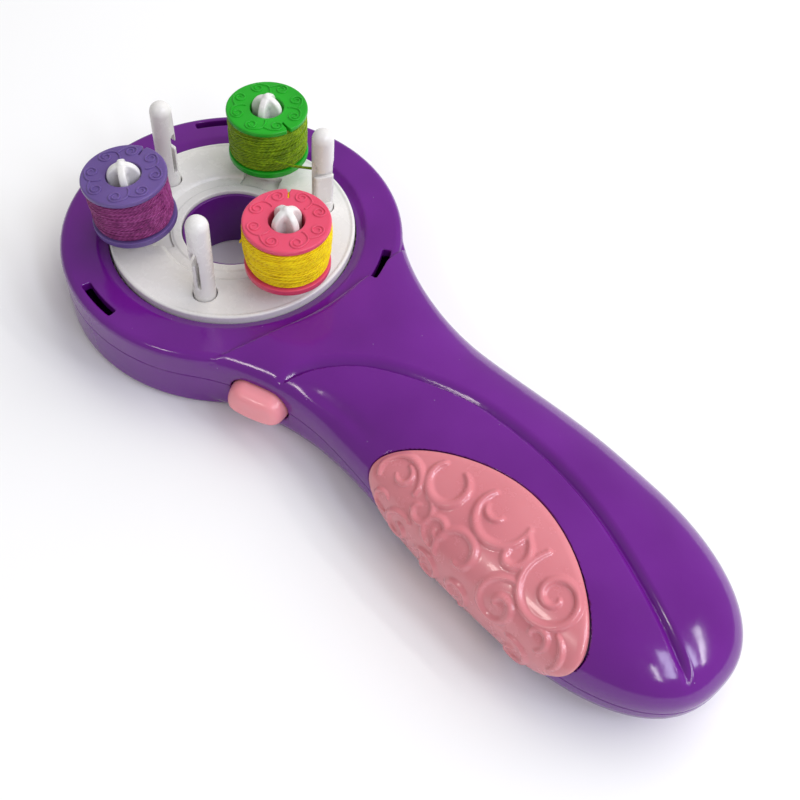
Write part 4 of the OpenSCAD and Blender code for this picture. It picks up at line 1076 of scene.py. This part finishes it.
class KNITTER_OT_inlay(bpy.types.Operator):
    """The grip inlay with its raised scrolls, and the push button"""
    bl_idname = "knitter.inlay"
    bl_label = "Grip inlay and button"

    def execute(self, context):
        s = context.scene.knitter_inlay
        # TPE-coated ABS: soft pink with a satin coat that lights up along the ridges
        satin = moulded("pink_abs_satin", s.light, s.dark, 0.25, peel=0.04, coat=0.4, sss=0.1)
        pad = inlay_mesh("grip_pad", s.proud / MM, s.ridge / MM)
        finish_piece(pad, "case", "grip_pink", satin, "grip_inlay")
        # ABS moulded glossy: paler than the inlay, with clear small highlights
        glossy = moulded("pink_abs_glossy", hexed("#F49EA6"), hexed("#EE929B"), 0.22, peel=0.03, sss=0.15)
        button = solid("button_cap", button_level, (-10.6, -6.8, -3.2), (10.6, 6.8, 7.2), 0.32 * COARSE)
        turn = Matrix((BUTTON_ALONG, (0, 0, 1), BUTTON_OUT)).transposed().to_4x4()
        place(button, Matrix.Translation(Vector(BUTTON_AT * MM)) @ turn)
        finish_piece(button, "button", "button_pink", glossy, "push_button")
        return {"FINISHED"}


class KNITTER_OT_head(bpy.types.Operator):
    """The turntable with its spindles and hook needles"""
    bl_idname = "knitter.head"
    bl_label = "Turntable and needles"

    def execute(self, context):
        s = context.scene.knitter_head
        # white ABS with a satin finish: soft shadows and broad soft highlights; the little light that enters the thin
        # plastic is left out
        white = moulded("white_abs_satin", s.white, s.shadow, 0.26, peel=0.012)
        grid = disc_grid(15.2, 38.1, 0.44 * COARSE, int(500 / COARSE), 3.9, 23.3, 0.4 * COARSE)
        disc = new_mesh("turntable_disc", *net(disc_level, *grid, reach=0.35))
        finish_piece(disc, "turntable", "white_plastic", white, "turntable")
        for k in range(3):
            post = solid(f"spindle_post_{k + 1}", spindle_level, (-6.6, -6.6, 0), (6.6, 6.6, 29.2), 0.36 * COARSE)
            place(post, at_spindle(k))
            finish_piece(post, "turntable", "white_plastic", white, f"spindle_{k + 1}")
            needle = solid(f"hook_needle_{k + 1}", needle_level, (-3.4, -3.4, 16), (3.4, 3.4, 52.8), 0.3 * COARSE)
            turn = Matrix.Rotation(math.radians(NEEDLE_ANGLES[k]), 4, "Z")
            place(needle, turn @ Matrix.Translation((NEEDLE_ORBIT * MM, 0, 0)))
            finish_piece(needle, "needles", "white_plastic", white, f"needle_{k + 1}")
        return {"FINISHED"}


class KNITTER_OT_bobbins(bpy.types.Operator):
    """Three bobbins with their thread, and the thread led to the first needle"""
    bl_idname = "knitter.bobbins"
    bl_label = "Bobbins and thread"

    def execute(self, context):
        s = context.scene.knitter_thread
        # each thread has its dye colour, a darker one painted between the plies as shade and a lighter one painted on
        # their crests as highlight; the two also spread the thread's uneven tone
        kinds = [("pink", "#E65474", "#DC4B69", 92, 0, "yellow", "#F6D600", "#DCAF00", "#FFE60A", "flange_pink"),
                 ("green", "#1FAE22", "#189B1D", -52, 1, "green", "#749600", "#567400", "#93B408", "flange_green"),
                 ("violet", "#6C5596", "#624B8A", 70, 2, "violet", "#883272", "#672058", "#A95395", "flange_violet")]
        strand = s.strand / MM
        threads = []
        for name, light, dark, slit, k, thread, mid, low, high, slot in kinds:
            # polypropylene straight from the mould: waxy, with a satin shine and a trace of light inside it
            plastic = moulded(f"{name}_polypropylene", hexed(light), hexed(dark), 0.34, peel=0.04, ior=1.49, sss=0.2)
            turn = (0, 45, -25)[k] + 45.8 - BOBBIN_ANGLES[k]
            grid = disc_grid(4.8, 12.9, 0.34 * COARSE, int(300 / COARSE), -0.4, 18.4, 0.28 * COARSE)
            spool = new_mesh(f"bobbin_spool_{k + 1}", *net(bobbin_level(slit + 45.8 - BOBBIN_ANGLES[k]), *grid,
                                                           reach=0.3))
            curls = bobbin_curls(f"bobbin_scrolls_{k + 1}", turn, BOBBIN_H + 0.02)
            for obj in (spool, curls):
                place(obj, bobbin_frame(k))
                finish_piece(obj, f"bobbin_{k + 1}", slot, plastic)
            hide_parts(f"bobbin_{k + 1}")
            cotton = spun(f"{thread}_mercerised_cotton", hexed(mid), hexed(low), hexed(high))
            threads.append(cotton)
            t = np.linspace(0, 1, 12)
            core = [(6.3, 2.25)] + [(wound_r(k, v) - strand * 1.05, 2.25 + 14.1 * v) for v in t] + [(6.3, 16.35)]
            under = lathe(f"thread_under_{k + 1}", core, 72)
            paths = winding_paths(k, strand, s.turns, int(s.loops))
            if k == 0:
                a = math.radians(-132)
                out = spline([(11.6, 9.9), (12.5, 9.6), (13.2, 8.9), (13.5, 8.0)], 5)
                paths.append(np.stack([out[:, 0] * math.cos(a) + 0.2, out[:, 0] * math.sin(a), out[:, 1]], 1))
                a = math.radians(slit + 45.8 - BOBBIN_ANGLES[0])
                held = spline([(8.7, 17.5), (10.0, 17.4), (11.4, 17.0), (12.4, 16.2), (12.4, 15.0)], 5)
                paths.append(np.stack([held[:, 0] * math.cos(a), held[:, 0] * math.sin(a), held[:, 1]], 1))
            wound = tubes(f"thread_wound_{k + 1}", paths, [strand / 2] * len(paths), 7)
            for obj in (under, wound):
                place(obj, bobbin_frame(k))
                finish_piece(obj, f"bobbin_{k + 1}", f"thread_{thread}", cotton)
            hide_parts(f"winding_{k + 1}")
            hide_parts(f"thread_core_{k + 1}")
        route = spline([(-1.4, 17.8, 36.8), (1.1, 19.4, 36.6), (3.6, 21.0, 36.6), (6.1, 22.7, 36.8),
                        (8.7, 24.4, 37.2)], 6)
        lead = tubes("thread_lead_green", [route], [0.42], 8)
        lead.data.materials.append(threads[1])
        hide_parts("thread_lead")
        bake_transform(lead)
        return {"FINISHED"}


class KNITTER_OT_works(bpy.types.Operator):
    """Screws, battery door, and the finish of the gears, motor, spring, switch and cells"""
    bl_idname = "knitter.works"
    bl_label = "Screws and works"

    def execute(self, context):
        # zinc-plated steel, stamped and tumbled: bluish and cloudy
        zinc = metal("zinc_plated_steel", hexed("#C9CCD1"), hexed("#A7ABB2"), 0.32, stretch=(1, 1, 1))
        heads = []
        for x, y, depth in SEATS[:-1]:
            head_piece = solid("screw_head", screw_level, (-2.3, -2.3, 0), (2.3, 2.3, 1.8), 0.16 * COARSE)
            shank = lathe("screw_shank", [(0.01, 1.75), (1.3, 1.75), (1.3, 13.4), (0.01, 14.4)], 20)
            heads += [place(o, Matrix.Translation((x * MM, y * MM, (depth - 1.8) * MM))) for o in (head_piece, shank)]
        finish_piece(join("screws_case", heads), "case", "steel", zinc, "shell_screws")
        head_piece = solid("screw_door_head", screw_level, (-2.3, -2.3, 0), (2.3, 2.3, 1.8), 0.16 * COARSE)
        shank = lathe("screw_door_shank", [(0.01, 0.9), (1, 0.9), (1, 8.4), (0.01, 8.7)], 20)
        place(head_piece, Matrix.Diagonal((1, 1, 0.56, 1)))
        pair = [place(o, Matrix.Translation((161 * MM, 0, 0.2 * MM))) for o in (head_piece, shank)]
        finish_piece(join("screw_door", pair), "case", "steel", zinc, "door_screw")
        case = context.scene.knitter_case
        finishes = {
            # acetal gears: milky and slightly waxy
            "gear_plastic": moulded("acetal_natural", hexed("#EFEBDD"), hexed("#E3DDCB"), 0.38, grain=0.05, sss=0.25),
            # brass pinion, hobbed: fine lines along the teeth
            "gear_brass": metal("brass_hobbed", hexed("#D9B45B"), hexed("#B48D3D"), 0.28),
            # spring steel, oiled: dark and smooth
            "spring_steel": metal("spring_steel_oiled", hexed("#A9A7A4"), hexed("#85827E"), 0.25, stretch=(1, 1, 30)),
            "steel": zinc,
            # glass-filled nylon: matt black with a fine grain
            "switch_black": moulded("black_nylon", hexed("#232325"), hexed("#1A1A1C"), 0.5, grain=0.2),
            "cell_jacket": shrink_label("cell_sleeve_pvc"),
            # nickel-plated strip, rolled: bright with lines along it
            "contact_metal": metal("nickel_plated_strip", hexed("#D7D3C8"), hexed("#B9B5AA"), 0.25),
            "case_purple": moulded("purple_abs_door", case.light, case.dark, 0.26, peel=0.05, grain=0.04),
            "white_plastic": moulded("white_abs_inner", hexed("#EAE6E0"), hexed("#DDD8D0"), 0.4, grain=0.05),
        }
        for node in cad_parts:
            obj = bpy.data.objects.get(node if isinstance(node, str) else node["name"])
            if obj is None or obj.hide_render:
                continue
            for slot in obj.material_slots:
                kind = (slot.material.name if slot.material else "").split(".")[0]
                match = next((v for key, v in finishes.items() if key in kind), None)
                if match is None:
                    raise RuntimeError(f"no finish for {obj.name} {kind}")
                slot.material = match
        return {"FINISHED"}


class KNITTER_OT_stage(bpy.types.Operator):
    """Floor, soft lights, world and camera"""
    bl_idname = "knitter.stage"
    bl_label = "Stage"

    def execute(self, context):
        s = context.scene.knitter_stage
        scene = context.scene
        mesh = bpy.data.meshes.new("floor")
        mesh.from_pydata([(-3, -3, 0), (3, -3, 0), (3, 3, 0), (-3, 3, 0)], [], [(0, 1, 2, 3)])
        floor = bpy.data.objects.new("floor", mesh)
        scene.collection.objects.link(floor)
        mat, tree, where = begin("paper_sweep_white")
        fibre = add(tree, "ShaderNodeTexNoise", {"Vector": where.outputs["Object"], "Scale": 900.0, "Detail": 2.0})
        bump = add(tree, "ShaderNodeBump", {"Height": fibre.outputs["Fac"], "Strength": 0.03, "Distance": 0.0002})
        end(mat, tree, add(tree, "ShaderNodeBsdfPrincipled", {
            "Base Color": hexed("#FAFAFA"), "Roughness": 0.9, "Normal": bump.outputs["Normal"]}))
        floor.data.materials.append(mat)
        world = bpy.data.worlds.new("white_room")
        world.use_nodes = True
        world.node_tree.nodes["Background"].inputs["Color"].default_value = hexed("#FFFFFF")
        world.node_tree.nodes["Background"].inputs["Strength"].default_value = 0.38
        scene.world = world
        scene.view_settings.view_transform = "Standard"
        middle = Vector((0.05, 0.0, 0.02))
        # name, place, width and height, turn about its own axis, power against the key, colour
        lamps = [("key_sky", (0.15, 0.85, 0.95), (1.5, 1.5), 0, 1.0, "#FFFEFC"),
                 ("window_left", (0.84, -0.01, 0.84), (0.13, 0.5), -28, 0.15, "#E4EAFF"),
                 ("window_right", (0.88, 0.32, 0.8), (0.15, 0.36), -28, 0.13, "#E6ECFF"),
                 ("strip_left", (0.9, -0.27, 0.81), (0.03, 0.34), -13, 0.06, "#FFFFFF"),
                 ("strip_right", (0.85, 0.5, 0.72), (0.035, 0.5), -45, 0.09, "#FFFFFF"),
                 ("side_lamp", (0.0, -0.7, 0.8), (0.16, 0.12), 0, 0.06, "#FFF6EE")]
        for name, at, extent, turn, share, colour in lamps:
            lamp = bpy.data.lights.new(name, "AREA")
            lamp.shape = "RECTANGLE"
            lamp.size, lamp.size_y = extent
            lamp.energy = s.key * share
            lamp.color = hexed(colour)[:3]
            obj = bpy.data.objects.new(name, lamp)
            obj.location = at
            aim = (middle - Vector(at)).to_track_quat("-Z", "Y").to_matrix()
            obj.rotation_euler = (aim @ Matrix.Rotation(math.radians(turn), 3, "Z")).to_euler()
            obj.visible_glossy = name != "key_sky"
            scene.collection.objects.link(obj)
        data = bpy.data.cameras.new("camera")
        data.lens = s.lens / MM
        data.sensor_width = 36.0
        data.shift_x, data.shift_y = 0.0509, -0.0571
        data.clip_start = 0.01
        camera = bpy.data.objects.new("camera", data)
        camera.location = s.place
        aim = (Vector((0.0502, 0.0083, 0.0)) - camera.location).to_track_quat("-Z", "Y")
        camera.rotation_euler = (aim.to_matrix() @ Matrix.Rotation(math.radians(3.36), 3, "Z")).to_euler()
        scene.collection.objects.link(camera)
        scene.camera = camera
        return {"FINISHED"}


class KNITTER_PT_panel(bpy.types.Panel):
    bl_idname = "KNITTER_PT_panel"
    bl_label = "Knitting machine"
    bl_space_type = "VIEW_3D"
    bl_region_type = "UI"
    bl_category = "Knitting machine"

    def draw(self, context):
        for group in (g for g in GROUPS):
            box = self.layout.box()
            settings = getattr(context.scene, group)
            for key in settings.bl_rna.properties.keys():
                if key not in ("rna_type", "name"):
                    box.prop(settings, key)
        for operator in OPERATORS:
            self.layout.operator(operator.bl_idname)


GROUPS = {"knitter_case": KnitterCase, "knitter_inlay": KnitterInlay, "knitter_head": KnitterHead,
          "knitter_thread": KnitterThread, "knitter_stage": KnitterStage}
OPERATORS = (KNITTER_OT_stage, KNITTER_OT_case, KNITTER_OT_inlay, KNITTER_OT_head, KNITTER_OT_bobbins,
             KNITTER_OT_works)


def register():
    for cls in (*GROUPS.values(), *OPERATORS, KNITTER_PT_panel):
        bpy.utils.register_class(cls)
    for name, cls in GROUPS.items():
        setattr(bpy.types.Scene, name, PointerProperty(type=cls))


def unregister():
    for name in GROUPS:
        delattr(bpy.types.Scene, name)
    for cls in reversed((*GROUPS.values(), *OPERATORS, KNITTER_PT_panel)):
        bpy.utils.unregister_class(cls)


def main():
    register()
    for operator in OPERATORS:
        group, name = operator.bl_idname.split(".")
        getattr(getattr(bpy.ops, group), name)()


if __name__ == "__main__":
    main()
